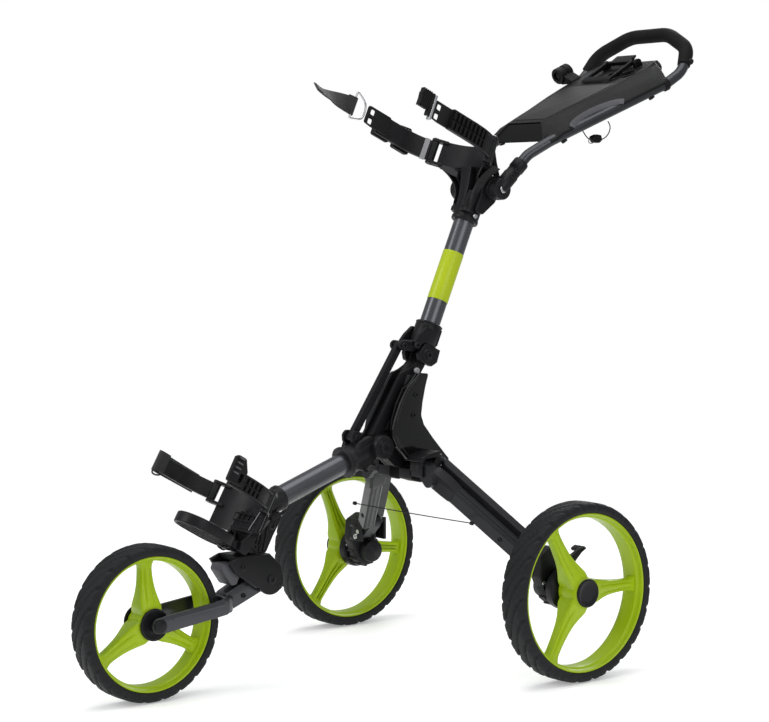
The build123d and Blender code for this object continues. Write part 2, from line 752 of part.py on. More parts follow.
with BuildPart() as handle_knuckles:
    for side in (1, -1):
        cross_pin(*DRUM, DRUM_R, side * DRUM_IN, side * DRUM_OUT)
        base = Vector(start.X, side * start.Y, start.Z)
        along = Vector(step.X, side * step.Y, step.Z)
        with BuildSketch(Plane(origin=base, z_dir=along)):
            Circle(HANDLE_R + 4.0)
        extrude(amount=64.0)
        with BuildSketch(Plane(origin=base + along * 0.3, z_dir=along)):
            Circle(HANDLE_R)
        extrude(amount=100.0, mode=Mode.SUBTRACT)
    cross_pin(*DRUM, HUB_PIN_R + RUNNING, 70, -70, mode=Mode.SUBTRACT)
save("handle_knuckles", handle_knuckles.part)

# The console's own frame: X runs up the deck from its lower edge, Y to the cart's right and Z out
# of the deck
DECK_SLOPE = 24.0
DECK = Plane(
    origin=at(-160.0, 914.0),
    x_dir=(-cos(radians(DECK_SLOPE)), 0, sin(radians(DECK_SLOPE))),
    z_dir=(sin(radians(DECK_SLOPE)), 0, cos(radians(DECK_SLOPE))),
)
DECK_LENGTH = 292.0
DECK_LOW_HALF, DECK_TOP_HALF = 46.0, 104.0
DECK_THICK = 4.0
SKIRT_DEPTH = 30.0
CLIP_HINGE = (262.0, 9.0)
PANEL_RAISE = 0.8  # the raised panel that things are laid on
PANEL_OUTLINE = ((14, 40), (14, -40), (172, -70), (172, 70))
CUP_R = 13.5  # holes that hold golf balls
HOLDER_START, HOLDER_LENGTH = 196.0, 30.0
HOLDER_CENTRE = (103.0, 13.0)  # of the accessory holder, to the right and out of the deck


def deck_outline(inset=0.0, mode=Mode.ADD):
    """The console's trapezoid with rounded corners, in the sketch being drawn."""
    low, top, end = DECK_LOW_HALF - inset, DECK_TOP_HALF - inset, DECK_LENGTH - inset
    with BuildLine() as edge:
        FilletPolyline((inset, low), (end, top), (end, -top), (inset, -low), radius=14.0 - inset, close=True)
    make_face(edge.edges(), mode=mode)


with BuildPart() as console_deck:
    with BuildSketch(DECK):
        deck_outline()
    extrude(amount=-DECK_THICK)
    with BuildSketch(DECK):
        for y in (-51.0, -16.0):
            with Locations((222, y)):
                Circle(CUP_R)
    extrude(amount=-DECK_THICK, mode=Mode.SUBTRACT)
    with BuildSketch(DECK):
        Polygon(*PANEL_OUTLINE, align=None)
    extrude(amount=PANEL_RAISE)
    holder_end = Plane(
        origin=DECK.origin + DECK.x_dir * HOLDER_START, x_dir=DECK.y_dir, z_dir=DECK.x_dir
    )
    with BuildSketch(holder_end):
        with Locations(HOLDER_CENTRE):
            Circle(15.0)
        Polygon((72, -DECK_THICK), (72, 0), (92, 12), (112, 2), (94, -DECK_THICK), align=None)
        with Locations(HOLDER_CENTRE):
            Circle(9.0, mode=Mode.SUBTRACT)
    extrude(amount=HOLDER_LENGTH)
    with BuildSketch(DECK):
        for y in (-40.0, 40.0):
            with Locations((262, y)):
                Rectangle(16, 7)
    extrude(amount=14.0)
    with BuildSketch(Plane(origin=DECK.origin, x_dir=DECK.x_dir, z_dir=(0, 1, 0))):
        with Locations(CLIP_HINGE):
            Circle(2.5)
    extrude(amount=60, both=True, mode=Mode.SUBTRACT)
save("console_deck", console_deck.part)

with BuildPart() as console_skirt:
    with BuildSketch(DECK.offset(-DECK_THICK - SKIRT_DEPTH)):
        deck_outline(2.0)
        deck_outline(5.5, mode=Mode.SUBTRACT)
    extrude(amount=SKIRT_DEPTH)
save("console_skirt", console_skirt.part)


DECK_SIDE = Plane(origin=DECK.origin, x_dir=DECK.x_dir, z_dir=(0, 1, 0))
with BuildPart() as scorecard_clip:
    with BuildSketch(DECK_SIDE):
        with Locations(CLIP_HINGE):
            Circle(4.0)
        Polygon((262, 12.5), (200, 6), (186, 0.8), (190, 0.8), (262, 5.5), align=None)
        Polygon((262, 12.5), (280, 16), (281, 13), (262, 6), align=None)
    extrude(amount=35.5, both=True)
    with BuildSketch(DECK_SIDE):
        with Locations(CLIP_HINGE):
            Circle(2.5 - RUNNING)
    extrude(amount=44.0, both=True)
save("scorecard_clip", scorecard_clip.part)

CORD_R = 1.5


def cord_bends(points):
    """The widest arc that each corner of a cord's route has room for."""
    runs = [b - a for a, b in zip(points, points[1:])]
    return [
        0.45 * min(before.length, after.length) / tan(radians(before.get_angle(after) / 2))
        for before, after in zip(runs, runs[1:])
    ]


# forward, height and left of each point of the elastic cord under the console's left edge
CORD_ROUTE = (
    (-236, 906, 66), (-241, 893, 68), (-253, 885, 70), (-269, 884, 72),
    (-285, 890, 73), (-297, 901, 73), (-303, 915, 72),
)
cord_points = [at(*point) for point in CORD_ROUTE]
save("elastic_cord", swept_tube(cord_points, cord_bends(cord_points), CORD_R, 0))

# ---------------------------------------------------------------- rear legs

LEG_WIDTH, LEG_DEPTH = 23.0, 25.0
LINK_WIDTH, LINK_DEPTH = 8.0, 13.0
BEAM_START = 0.13  # how far along the leg its slanting beam begins


def leg_bar(side, offset, width, depth, begin):
    """A bar with an upright eye at each end and a slanting beam between them."""
    top, foot = [
        at(end[0] + offset[0], end[2] + offset[2], side * (end[1] + offset[1]))
        for end in (LEG_TOP, LEG_FOOT)
    ]
    run = foot - top
    across_bar = Vector(1, 0, 0) - run * (run.X / run.length**2)
    with BuildPart() as bar:
        with BuildSketch(Plane(origin=top + run * begin, x_dir=across_bar, z_dir=run)):
            RectangleRounded(width, depth, 3.0)
        extrude(amount=run.length * (1 - 2 * begin))
        for end, inward in ((top, run), (foot, run * -1)):
            reach = end + inward * begin
            with BuildSketch(Plane(origin=(end.X - width / 2, 0, 0), x_dir=(0, 1, 0), z_dir=(1, 0, 0))):
                SlotCenterPoint(((end.Y + reach.Y) / 2, (end.Z + reach.Z) / 2), (end.Y, end.Z), depth)
            extrude(amount=width)
        for end in (top, foot):
            with BuildSketch(Plane(origin=(end.X - width, 0, 0), x_dir=(0, 1, 0), z_dir=(1, 0, 0))):
                with Locations((end.Y, end.Z)):
                    Circle(PIN_R + RUNNING)
            extrude(amount=2 * width, mode=Mode.SUBTRACT)
    return bar.part


FOOT_IN = 238.0  # inner face of the carrier's body, beside the leg's foot
CARRIER_OUT = 262.0
for name, side in (("left", 1), ("right", -1)):
    save(f"leg_{name}", leg_bar(side, (0, 0, 0), LEG_WIDTH, LEG_DEPTH, BEAM_START))
    save(f"link_{name}", leg_bar(side, LINK_OFFSET, LINK_WIDTH, LINK_DEPTH, 0.03))

    foot, link_foot = LEG_FOOT, [a + b for a, b in zip(LEG_FOOT, LINK_OFFSET)]
    with BuildPart() as carrier:
        with BuildSketch(side_view(max(side * FOOT_IN, side * CARRIER_OUT))):
            with BuildLine():
                FilletPolyline(
                    *flat((-32, 150), (-20, 212), (12, 222), (42, 206), (44, 158), (22, 118), (-18, 116)),
                    radius=9, close=True,
                )
            make_face()
        extrude(amount=CARRIER_OUT - FOOT_IN)
        cross_pin(0, REAR_WHEEL_R, 27.0, side * 222, side * (CARRIER_OUT + 2))
        with BuildSketch(side_view(max(side * 208, side * (FOOT_IN + 2)))):
            with BuildLine():
                FilletPolyline(
                    *flat((-18, 186), (-18, 212), (38.5, 206), (38.5, 168), (0, 168)),
                    radius=5, close=True,
                )
            make_face()
        extrude(amount=FOOT_IN + 2 - 208)
        leg_half = LEG_WIDTH / 2 + GAP
        link_half = LINK_WIDTH / 2 + GAP
        for low, high in ((foot[0] - leg_half, foot[0] + leg_half), (link_foot[0] - link_half, 6.0)):
            with BuildSketch(across(low)):
                with Locations((side * (FOOT_IN - 50), 195)):
                    Rectangle(100, 60)
            extrude(amount=high - low, mode=Mode.SUBTRACT)
        for pivot in (foot, link_foot):
            with BuildSketch(across(pivot[0] - 40)):
                with Locations((side * pivot[1], pivot[2])):
                    Circle(PIN_R)
            extrude(amount=80, mode=Mode.SUBTRACT)
        cross_pin(0, REAR_WHEEL_R, AXLE_R, side * 236, side * 270, mode=Mode.SUBTRACT)
        cross_pin(-22, 190, 4.0 + RUNNING, side * 230, side * 270, mode=Mode.SUBTRACT)
    save(f"carrier_{name}", carrier.part)

    with BuildPart() as axle:
        cross_pin(0, REAR_WHEEL_R, AXLE_R, side * 236, side * (TRACK / 2 + 22))
        for pivot, back, front in ((foot, -14.0, 16.5), (link_foot, -10.5, 5.0)):
            with BuildSketch(across(pivot[0] + back)):
                with Locations((side * pivot[1], pivot[2])):
                    Circle(PIN_R)
            extrude(amount=front - back)
    save(f"axle_{name}", axle.part)

with BuildPart() as brake_pedal:
    with BuildSketch(side_view(CARRIER_OUT + 10)):
        with BuildLine():
            FilletPolyline(
                *flat((-14, 183), (-14, 198), (-30, 200), (-58, 214), (-64, 208), (-36, 188), (-28, 181)),
                radius=2.5, close=True,
            )
        make_face()
    extrude(amount=9.6)
    cross_pin(-22, 190, 4.0, CARRIER_OUT + 1, FOOT_IN)
    with BuildSketch(side_view(CARRIER_OUT + 10)):
        with BuildLine():
            FilletPolyline(*flat((-46, 206), (-62, 215), (-66, 208), (-50, 199)), radius=2, close=True)
        make_face()
    extrude(amount=34)
save("brake_pedal", brake_pedal.part)

CABLE_R = 1.2
with BuildPart() as brake_cable:
    cross_pin(89, 249, CABLE_R, 147, -147)
save("brake_cable", brake_cable.part)

# ---------------------------------------------------------------- wheels

HUB_R = 27.0
HUB_HALF = 22.5
CAP_THICK = 4.0
SPOKE_HALF = 9.0  # half the spoke's thickness along the axle


def turned(centre, outline):
    """A ring turned about a wheel's axle from half of its section."""
    with BuildPart() as ring:
        with BuildSketch(wheel_frame(centre)):
            Polygon(*outline, align=None)
        revolve(axis=Axis(centre, (0, 1, 0)))
    return ring.part


def rim(centre, wheel_r, first_spoke, brake_side):
    """Barrel, three flared spokes and a hub bored for the axle."""
    lip, seat = wheel_r - TYRE_SECTION, wheel_r - TYRE_SECTION - 4.0
    inner, half = lip - RIM_BARREL, RIM_WIDTH / 2
    section = [
        (inner, -half), (lip, -half), (lip, RIM_LIP - half), (seat, RIM_LIP - half),
        (seat, half - RIM_LIP), (lip, half - RIM_LIP), (lip, half), (inner, half),
    ]
    barrel = turned(centre, section)
    with BuildPart() as wheel:
        add(barrel)
        for spoke in range(3):
            angle = first_spoke + 120 * spoke
            with BuildSketch(wheel_side(centre, SPOKE_HALF)):
                with Locations(Location((0, 0, 0), (0, 0, angle))):
                    Polygon((18, -24), (46, -14), (inner - 24, -15), (inner + 1, -24),
                            (inner + 1, 24), (inner - 24, 15), (46, 14), (18, 24), align=None)
            extrude(amount=2 * SPOKE_HALF)
        with BuildSketch(wheel_side(centre, HUB_HALF)):
            Circle(HUB_R)
        extrude(amount=2 * HUB_HALF)
        if brake_side:
            with BuildSketch(wheel_side(centre, max(-brake_side * 20, -brake_side * 42))):
                Circle(34.0)
            extrude(amount=22.0)
        with BuildSketch(wheel_side(centre, 60)):
            Circle(AXLE_R + RUNNING)
        extrude(amount=120, mode=Mode.SUBTRACT)
    return wheel.part


def tyre(centre, wheel_r):
    """A solid rubber tyre that sits between the rim's lips."""
    lip, seat = wheel_r - TYRE_SECTION + 0.1, wheel_r - TYRE_SECTION - 3.9
    bead, half = RIM_WIDTH / 2 - RIM_LIP - 0.1, TYRE_WIDTH / 2
    side = [(seat, bead), (lip, bead), (lip, RIM_WIDTH / 2), (lip + 5, half), (wheel_r - 6, half - 1),
            (wheel_r - 1.5, half - 6), (wheel_r, half - 12)]
    return turned(centre, side + [(r, -w) for r, w in reversed(side)])


CAP_R = 23.5
for name, side, first_spoke in (("left", 1, 180.0), ("right", -1, 187.0)):
    centre = at(0, REAR_WHEEL_R, side * TRACK / 2)
    save(f"rear_rim_{name}", rim(centre, REAR_WHEEL_R, first_spoke, side))
    save(f"rear_tyre_{name}", tyre(centre, REAR_WHEEL_R))
    with BuildPart() as hub_cap:
        inner = TRACK / 2 + HUB_HALF
        cross_pin(0, REAR_WHEEL_R, CAP_R, side * inner, side * (inner + CAP_THICK))
        outer = hub_cap.faces().sort_by(Axis.Y)[-1 if side > 0 else 0]
        fillet(outer.edges(), radius=2.0)
    save(f"hub_cap_{name}", hub_cap.part)

front_centre = at(WHEELBASE, FRONT_WHEEL_R)
save("front_rim", rim(front_centre, FRONT_WHEEL_R, 88.0, 0))
save("front_tyre", tyre(front_centre, FRONT_WHEEL_R))
with BuildPart() as front_hub_caps:
    for side in (1, -1):
        cross_pin(WHEELBASE, FRONT_WHEEL_R, 25.5, side * HUB_HALF, side * (HUB_HALF + CAP_THICK))
    cross_pin(WHEELBASE, FRONT_WHEEL_R, AXLE_R + RUNNING, 60, -60, mode=Mode.SUBTRACT)
save("front_hub_caps", front_hub_caps.part)

# ---------------------------------------------------------------- fork

ARM_IN, ARM_OUTER = 33.5, 39.5
with BuildPart() as fork_yoke:
    with BuildSketch(side_view(15.0)):
        with Locations(*flat(FORK_PIVOT)):
            Circle(20.0)
        Polygon(*flat((402, 160), (414, 181), (486, 153), (486, 129), (470, 130)), align=None)
    extrude(amount=30.0)
    with BuildSketch(side_view(ARM_OUTER)):
        with BuildLine():
            FilletPolyline(*flat((472, 128), (472, 153), (494, 153), (494, 124)), radius=3, close=True)
        make_face()
    extrude(amount=2 * ARM_OUTER)
    for outer in (ARM_OUTER, -ARM_IN):
        with BuildSketch(side_view(outer)):
            Polygon(*flat((476, 153), (624.5, 135), (624.5, 110.4), (476, 127)), align=None)
            with Locations(*flat((WHEELBASE, FRONT_WHEEL_R))):
                Circle(13.0)
        extrude(amount=ARM_OUTER - ARM_IN)
    cross_pin(*FORK_PIVOT, HUB_PIN_R + RUNNING, 60, -60, mode=Mode.SUBTRACT)
    cross_pin(WHEELBASE, FRONT_WHEEL_R, AXLE_R, 60, -60, mode=Mode.SUBTRACT)
save("fork_yoke", fork_yoke.part)

with BuildPart() as front_axle:
    cross_pin(WHEELBASE, FRONT_WHEEL_R, AXLE_R, ARM_OUTER, -ARM_OUTER)
    for side in (1, -1):
        cross_pin(WHEELBASE, FRONT_WHEEL_R, 9.0, side * ARM_OUTER, side * (ARM_OUTER + 4))
save("front_axle", front_axle.part)

with BuildPart() as fork_latch:
    with BuildSketch(side_view(18.0)):
        with BuildLine():
            FilletPolyline(
                *flat((455, 200), (490, 202), (494, 192), (476, 166), (466, 168), (456, 188)),
                radius=3, close=True,
            )
        make_face()
    extrude(amount=36.0)
    cross_pin(462, 196, 3.0 + RUNNING, 20, -20, mode=Mode.SUBTRACT)
save("fork_latch", fork_latch.part)
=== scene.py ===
import bmesh
import bpy
import json
from math import cos, exp, pi, radians, sin, sqrt, tan
from mathutils import Matrix, Vector


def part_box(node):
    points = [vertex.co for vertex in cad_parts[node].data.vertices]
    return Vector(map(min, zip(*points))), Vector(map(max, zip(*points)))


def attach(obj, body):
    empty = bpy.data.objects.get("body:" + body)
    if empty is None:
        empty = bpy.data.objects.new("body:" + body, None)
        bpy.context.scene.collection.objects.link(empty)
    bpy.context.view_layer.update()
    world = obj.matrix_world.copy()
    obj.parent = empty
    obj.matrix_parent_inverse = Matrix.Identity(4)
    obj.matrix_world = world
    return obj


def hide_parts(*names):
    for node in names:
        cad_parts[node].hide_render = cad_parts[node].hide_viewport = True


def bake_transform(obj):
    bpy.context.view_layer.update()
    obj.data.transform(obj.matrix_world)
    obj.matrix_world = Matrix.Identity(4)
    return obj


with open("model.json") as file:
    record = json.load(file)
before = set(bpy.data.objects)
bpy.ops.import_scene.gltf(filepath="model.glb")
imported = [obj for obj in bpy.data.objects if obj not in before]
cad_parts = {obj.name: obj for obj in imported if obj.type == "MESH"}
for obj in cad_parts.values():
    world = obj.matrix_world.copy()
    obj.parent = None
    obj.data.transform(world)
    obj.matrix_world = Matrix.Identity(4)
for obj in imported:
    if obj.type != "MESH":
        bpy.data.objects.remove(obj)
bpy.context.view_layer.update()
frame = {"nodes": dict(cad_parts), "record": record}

# The looks of a folding golf push cart, in metres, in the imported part's own frame: +X is the way
# it is pushed, +Y its left and +Z up. Outlines and profiles are written in millimetres.
MM = 0.001

# ------------------------------------------------------------------ places, from the frame

JOINTS = {joint["name"]: joint for joint in frame["record"]["behaviour"]["joints"]}


def pivot(joint):
    """Where a hinge is, in metres."""
    return Vector(JOINTS[joint]["pos_m"])


def leaning(origin, up):
    """A frame whose Z is a leaning axis of the cart and whose Y is the cart's left."""
    z_axis = Vector(up).normalized()
    x_axis = Vector((0, 1, 0)).cross(z_axis)
    rows = Matrix((x_axis, (0, 1, 0), z_axis)).transposed()
    return Matrix.Translation(origin) @ rows.to_4x4()


def axes(origin, x_axis, z_axis):
    """A frame from its X and Z directions."""
    x_axis, z_axis = Vector(x_axis).normalized(), Vector(z_axis).normalized()
    x_axis = (x_axis - z_axis * x_axis.dot(z_axis)).normalized()
    rows = Matrix((x_axis, z_axis.cross(x_axis), z_axis)).transposed()
    return Matrix.Translation(origin) @ rows.to_4x4()


REAR_AXLE = pivot("wheel_left_spin")
FRONT_AXLE = pivot("wheel_front_spin")


def at(forward, height, left=0.0):
    """A point given in millimetres forward of the rear axle, above the ground and to the left."""
    return Vector((REAR_AXLE.x + forward * MM, left * MM, height * MM))


UPPER_LEAN = Vector(JOINTS["upper_arm_left_swing"]["axis"])
LOWER_LEAN = Vector(JOINTS["lower_arm_left_swing"]["axis"])
CRADLE_R = 93.0
UPPER = leaning(pivot("collar_swing"), UPPER_LEAN)
# the lower cradle's frame starts behind its arms' hinges
LOWER_SHIFT = Vector((-52.59, -76.04, 11.0)) * MM
LOWER = leaning(pivot("lower_arm_left_swing"), LOWER_LEAN) @ Matrix.Translation(LOWER_SHIFT)
# an outline's X and Y turned to a frame's X and Z, and to its Y and Z
SIDE = Matrix(((1, 0, 0, 0), (0, 0, -1, 0), (0, 1, 0, 0), (0, 0, 0, 1)))
END_ON = Matrix(((0, 0, 1, 0), (1, 0, 0, 0), (0, 1, 0, 0), (0, 0, 0, 1)))


def placed(frame_at, points):
    """Points of a frame, given in millimetres, as places in metres."""
    return [frame_at @ (Vector(p) * MM) for p in points]


# (forward, height) of pins that several pieces share
BARREL_AT, STRUT_FOOT, STRUT_HEAD = (178, 368), (222.7, 385.5), (122.6, 534.4)
FORK_PIN, KNUCKLE_AT = (407, 171), (-58, 797)


# ------------------------------------------------------------------ camera and light

CAMERA_PLACE = at(2384, 755, 2810)
CAMERA_YAW, CAMERA_PITCH = radians(-128.45), radians(-3.92)
FOCAL_IN_FRAME_WIDTHS = 2.794148244

camera_data = bpy.data.cameras.new("camera")
camera_data.sensor_width = 36.0
camera_data.lens = camera_data.sensor_width * FOCAL_IN_FRAME_WIDTHS
camera = bpy.data.objects.new("camera", camera_data)
view = Vector((cos(CAMERA_YAW) * cos(CAMERA_PITCH), sin(CAMERA_YAW) * cos(CAMERA_PITCH), sin(CAMERA_PITCH)))
camera.location = CAMERA_PLACE
camera.rotation_euler = view.to_track_quat("-Z", "Y").to_euler()
bpy.context.scene.collection.objects.link(camera)
bpy.context.scene.camera = camera
bpy.context.scene.view_settings.view_transform = "Standard"


MIDDLE = (0.0, 0.0, 0.5)
ROOM_LIGHT = 0.42


def soft_box(name, place, size, power):
    """A studio light panel, aimed at the cart's middle."""
    data = bpy.data.lights.new(name, "AREA")
    data.shape = "RECTANGLE"
    data.size, data.size_y = size
    data.energy = power
    light = bpy.data.objects.new(name, data)
    light.location = place
    light.rotation_euler = (Vector(MIDDLE) - Vector(place)).to_track_quat("-Z", "Y").to_euler()
    bpy.context.scene.collection.objects.link(light)


soft_box("overhead", (0.3, 0.4, 3.6), (3.2, 3.2), 62)
soft_box("key", (3.2, -0.9, 2.2), (1.6, 2.2), 42)
soft_box("left_fill", (0.4, 3.9, 1.8), (2.4, 2.4), 34)
soft_box("rim", (-2.8, -1.6, 2.4), (1.4, 2.4), 42)

world = bpy.data.worlds.new("studio")
world.use_nodes = True
world_tree = world.node_tree
backdrop = world_tree.nodes["Background"]
backdrop.inputs["Color"].default_value = (1.0, 1.0, 1.0, 1)
room = world_tree.nodes.new("ShaderNodeBackground")
room.inputs["Color"].default_value = (0.95, 0.96, 0.98, 1)
room.inputs["Strength"].default_value = ROOM_LIGHT
seen = world_tree.nodes.new("ShaderNodeLightPath")
either = world_tree.nodes.new("ShaderNodeMixShader")
world_tree.links.new(seen.outputs["Is Camera Ray"], either.inputs["Fac"])
world_tree.links.new(room.outputs["Background"], either.inputs[1])
world_tree.links.new(backdrop.outputs["Background"], either.inputs[2])
world_tree.links.new(either.outputs["Shader"], world_tree.nodes["World Output"].inputs["Surface"])
bpy.context.scene.world = world


# ------------------------------------------------------------------ materials

def shader(name):
    """A new material with its node tree and main shader."""
    material = bpy.data.materials.new(name)
    material.use_nodes = True
    tree = material.node_tree
    return material, tree, tree.nodes["Principled BSDF"]


def noise(tree, scale, detail):
    """Noise in the object's own space, in cycles per metre."""
    place = tree.nodes.new("ShaderNodeTexCoord")
    texture = tree.nodes.new("ShaderNodeTexNoise")
    texture.inputs["Scale"].default_value = scale
    texture.inputs["Detail"].default_value = detail
    tree.links.new(place.outputs["Object"], texture.inputs["Vector"])
    return texture


def ramp(tree, source, stops):
    """A colour ramp over a texture's value."""
    node = tree.nodes.new("ShaderNodeValToRGB")
    elements = node.color_ramp.elements
    while len(elements) < len(stops):
        elements.new(0.5)
    for element, (place, colour) in zip(elements, stops):
        element.position = place
        element.color = (*colour, 1)
    tree.links.new(source, node.inputs["Fac"])
    return node


def bump(tree, source, strength, distance):
    """A bump from a texture's value."""
    node = tree.nodes.new("ShaderNodeBump")
    node.inputs["Strength"].default_value = strength
    node.inputs["Distance"].default_value = distance
    tree.links.new(source, node.inputs["Height"])
    return node


def shade(colour, factor):
    """A colour made lighter or darker."""
    return tuple(min(1.0, c * factor) for c in colour)


SPECULAR = 0.2  # moulded plastic and satin paint, in a bright studio


def surface(name, colour, rough, spread, grain, grain_depth, metallic=0.0, coat=0.0, worn=0.0, smear=9):
    """A moulded or painted surface: slow changes of tone and gloss, fine grain, and lighter worn edges."""
    material, tree, main = shader(name)
    slow = noise(tree, smear, 4.0)
    tones = ramp(tree, slow.outputs["Fac"], [(0.3, shade(colour, 1 - spread)),
                                             (0.7, shade(colour, 1 + spread))])
    tint = tones.outputs["Color"]
    if worn:
        geometry = tree.nodes.new("ShaderNodeNewGeometry")
        edge = ramp(tree, geometry.outputs["Pointiness"], [(0.52, (0, 0, 0)), (0.60, (1, 1, 1))])
        patches = noise(tree, 60, 3.0)
        both = tree.nodes.new("ShaderNodeMath")
        both.operation = "MULTIPLY"
        tree.links.new(edge.outputs["Color"], both.inputs[0])
        tree.links.new(patches.outputs["Fac"], both.inputs[1])
        mix = tree.nodes.new("ShaderNodeMix")
        mix.data_type = "RGBA"
        mix.inputs["B"].default_value = (*[min(1.0, c * 2.2 + worn) for c in colour], 1)
        tree.links.new(both.outputs["Value"], mix.inputs["Factor"])
        tree.links.new(tint, mix.inputs["A"])
        tint = mix.outputs["Result"]
    tree.links.new(tint, main.inputs["Base Color"])
    gloss = ramp(tree, slow.outputs["Fac"], [(0.25, (rough * 0.85,) * 3),
                                             (0.75, (min(1, rough * 1.15),) * 3)])
    tree.links.new(gloss.outputs["Color"], main.inputs["Roughness"])
    main.inputs["Metallic"].default_value = metallic
    main.inputs["Coat Weight"].default_value = coat
    main.inputs["Coat Roughness"].default_value = 0.12
    main.inputs["Specular IOR Level"].default_value = SPECULAR
    fine = noise(tree, grain, 2.0)
    relief = bump(tree, fine.outputs["Fac"], 0.6, grain_depth)
    tree.links.new(relief.outputs["Normal"], main.inputs["Normal"])
    return material


BAND_SCALE = 0.314  # a wave texture with one band a metre


def woven(name, colour, pitch, rough=0.8, depth=0.0003):
    """Webbing: two crossed sets of threads, pitch metres apart."""
    material, tree, main = shader(name)
    place = tree.nodes.new("ShaderNodeTexCoord")
    waves = []
    for axis in ("X", "Z"):
        wave = tree.nodes.new("ShaderNodeTexWave")
        wave.bands_direction = axis
        wave.inputs["Scale"].default_value = BAND_SCALE / pitch
        wave.inputs["Distortion"].default_value = 0.4
        tree.links.new(place.outputs["Object"], wave.inputs["Vector"])
        waves.append(wave)
    weave = tree.nodes.new("ShaderNodeMath")
    weave.operation = "MULTIPLY"
    tree.links.new(waves[0].outputs["Fac"], weave.inputs[0])
    tree.links.new(waves[1].outputs["Fac"], weave.inputs[1])
    tones = ramp(tree, weave.outputs["Value"], [(0.0, shade(colour, 0.55)), (0.8, shade(colour, 1.5))])
    tree.links.new(tones.outputs["Color"], main.inputs["Base Color"])
    main.inputs["Roughness"].default_value = rough
    main.inputs["Sheen Weight"].default_value = 0.25
    relief = bump(tree, weave.outputs["Value"], 0.8, depth)
    tree.links.new(relief.outputs["Normal"], main.inputs["Normal"])
    return material


LIME = (0.335, 0.475, 0.006)
M = {
    "tube_paint": surface("tube_paint", (0.095, 0.097, 0.107), 0.30, 0.08, 2600, 0.00003, 0.75, 0.25,
                          smear=14),
    "handle_paint": surface("handle_paint", (0.050, 0.051, 0.057), 0.30, 0.1, 2000, 0.00003, 0.7, 0.3),
    "casting": surface("casting", (0.0065, 0.0065, 0.0076), 0.40, 0.18, 1400, 0.00006, worn=0.01, smear=24),
    "cradle_arm": surface("cradle_arm", (0.0057, 0.0057, 0.0065), 0.42, 0.18, 1500, 0.00006, worn=0.01,
                          smear=24),
    "leg_paint": surface("leg_paint", (0.0190, 0.0194, 0.0216), 0.36, 0.12, 2000, 0.00004, 0.35, 0.2),
    "carrier": surface("carrier", (0.0060, 0.0060, 0.0072), 0.42, 0.16, 1400, 0.00006, worn=0.01, smear=24),
    "cover_gloss": surface("cover_gloss", (0.0016, 0.0016, 0.0020), 0.15, 0.15, 500, 0.00001, coat=0.6,
                           smear=12),
    "steel": surface("steel", (0.60, 0.60, 0.62), 0.24, 0.08, 1800, 0.00003, 1.0, smear=30),
    "button_grey": surface("button_grey", (0.3360, 0.3360, 0.3520), 0.38, 0.06, 1400, 0.00005, smear=24),
    "lime_rim": surface("lime_rim", LIME, 0.34, 0.05, 1600, 0.00002, coat=0.12, smear=10),
    "lime_band": surface("lime_band", (0.43, 0.54, 0.012), 0.36, 0.05, 1600, 0.00002, coat=0.2, smear=10),
    "tyre": surface("tyre", (0.0108, 0.0112, 0.0122), 0.62, 0.2, 2200, 0.00012, worn=0.015, smear=26),
    "hub_cap": surface("hub_cap", (0.0075, 0.0075, 0.0090), 0.36, 0.1, 1400, 0.00004, smear=24),
    "grip": surface("grip", (0.0045, 0.0045, 0.0050), 0.74, 0.2, 1100, 0.0003, smear=40),
    "rubber_link": surface("rubber_link", (0.0110, 0.0110, 0.0115), 0.6, 0.15, 1500, 0.0001, smear=40),
    "webbing": woven("webbing", (0.0140, 0.0140, 0.0150), 0.0014),
    "cord": woven("cord", (0.0100, 0.0100, 0.0110), 0.0009, 0.7, 0.0001),
    "cable": surface("cable", (0.0084, 0.0084, 0.0090), 0.45, 0.1, 1500, 0.00003),
    "console_top": surface("console_top", (0.0200, 0.0180, 0.0188), 0.46, 0.10, 1700, 0.00008, worn=0.02,
                           smear=8),
    "console_shell": surface("console_shell", (0.0022, 0.0022, 0.0027), 0.46, 0.14, 1500, 0.00006,
                             worn=0.01),
    "console_grey": surface("console_grey", (0.088, 0.088, 0.098), 0.42, 0.06, 1500, 0.00005),
}

# Every CAD node that stays gets its slot's material.
SLOT_OF = {part["node"]: part["material_slot"] for part in frame["record"]["subparts"]}
for node, cad_object in frame["nodes"].items():
    for material_slot in cad_object.material_slots:
        material_slot.material = M[SLOT_OF[node]]


# ------------------------------------------------------------------ mesh making

def mesh_of(vertices, faces):
    """A mesh from points in metres and faces."""
    mesh = bpy.data.meshes.new("shape")
    mesh.from_pydata([Vector(v) for v in vertices], [], faces)
    mesh.update()
    return mesh


def rounded(points, radius, steps=4):
    """A closed outline with its corners rounded off. radius is one number or one for each point."""
    count = len(points)
    radii = radius if isinstance(radius, (list, tuple)) else [radius] * count
    out = []
    for i, corner in enumerate(points):
        here = Vector(corner)
        back, on = Vector(points[i - 1]) - here, Vector(points[(i + 1) % count]) - here
        turn = pi - back.angle(on)
        if radii[i] <= 0 or turn < 0.02:
            out.append(here)
            continue
        reach = min(radii[i] * tan(turn / 2), 0.48 * back.length, 0.48 * on.length)
        start, stop = here + back.normalized() * reach, here + on.normalized() * reach
        for k in range(steps + 1):
            t = k / steps
            out.append(start * (1 - t) ** 2 + here * 2 * t * (1 - t) + stop * t**2)
    return out


def pad(x0, y0, x1, y1, radius):
    """A rectangle with rounded corners."""
    return rounded([(x0, y0), (x1, y0), (x1, y1), (x0, y1)], radius)


def circle(x, y, radius, count):
    """A round outline."""
    return [Vector((x + radius * cos(2 * pi * i / count),
                    y + radius * sin(2 * pi * i / count))) for i in range(count)]


def slot_hole(length, width):
    """A long outline with round ends, lying along X."""
    half = (length - width) / 2
    points = []
    for end, start in ((1, -90), (-1, 90)):
        for k in range(21):
            a = radians(start + 9 * k)
            points.append(Vector((end * half + width / 2 * cos(a), width / 2 * sin(a))))
    return points


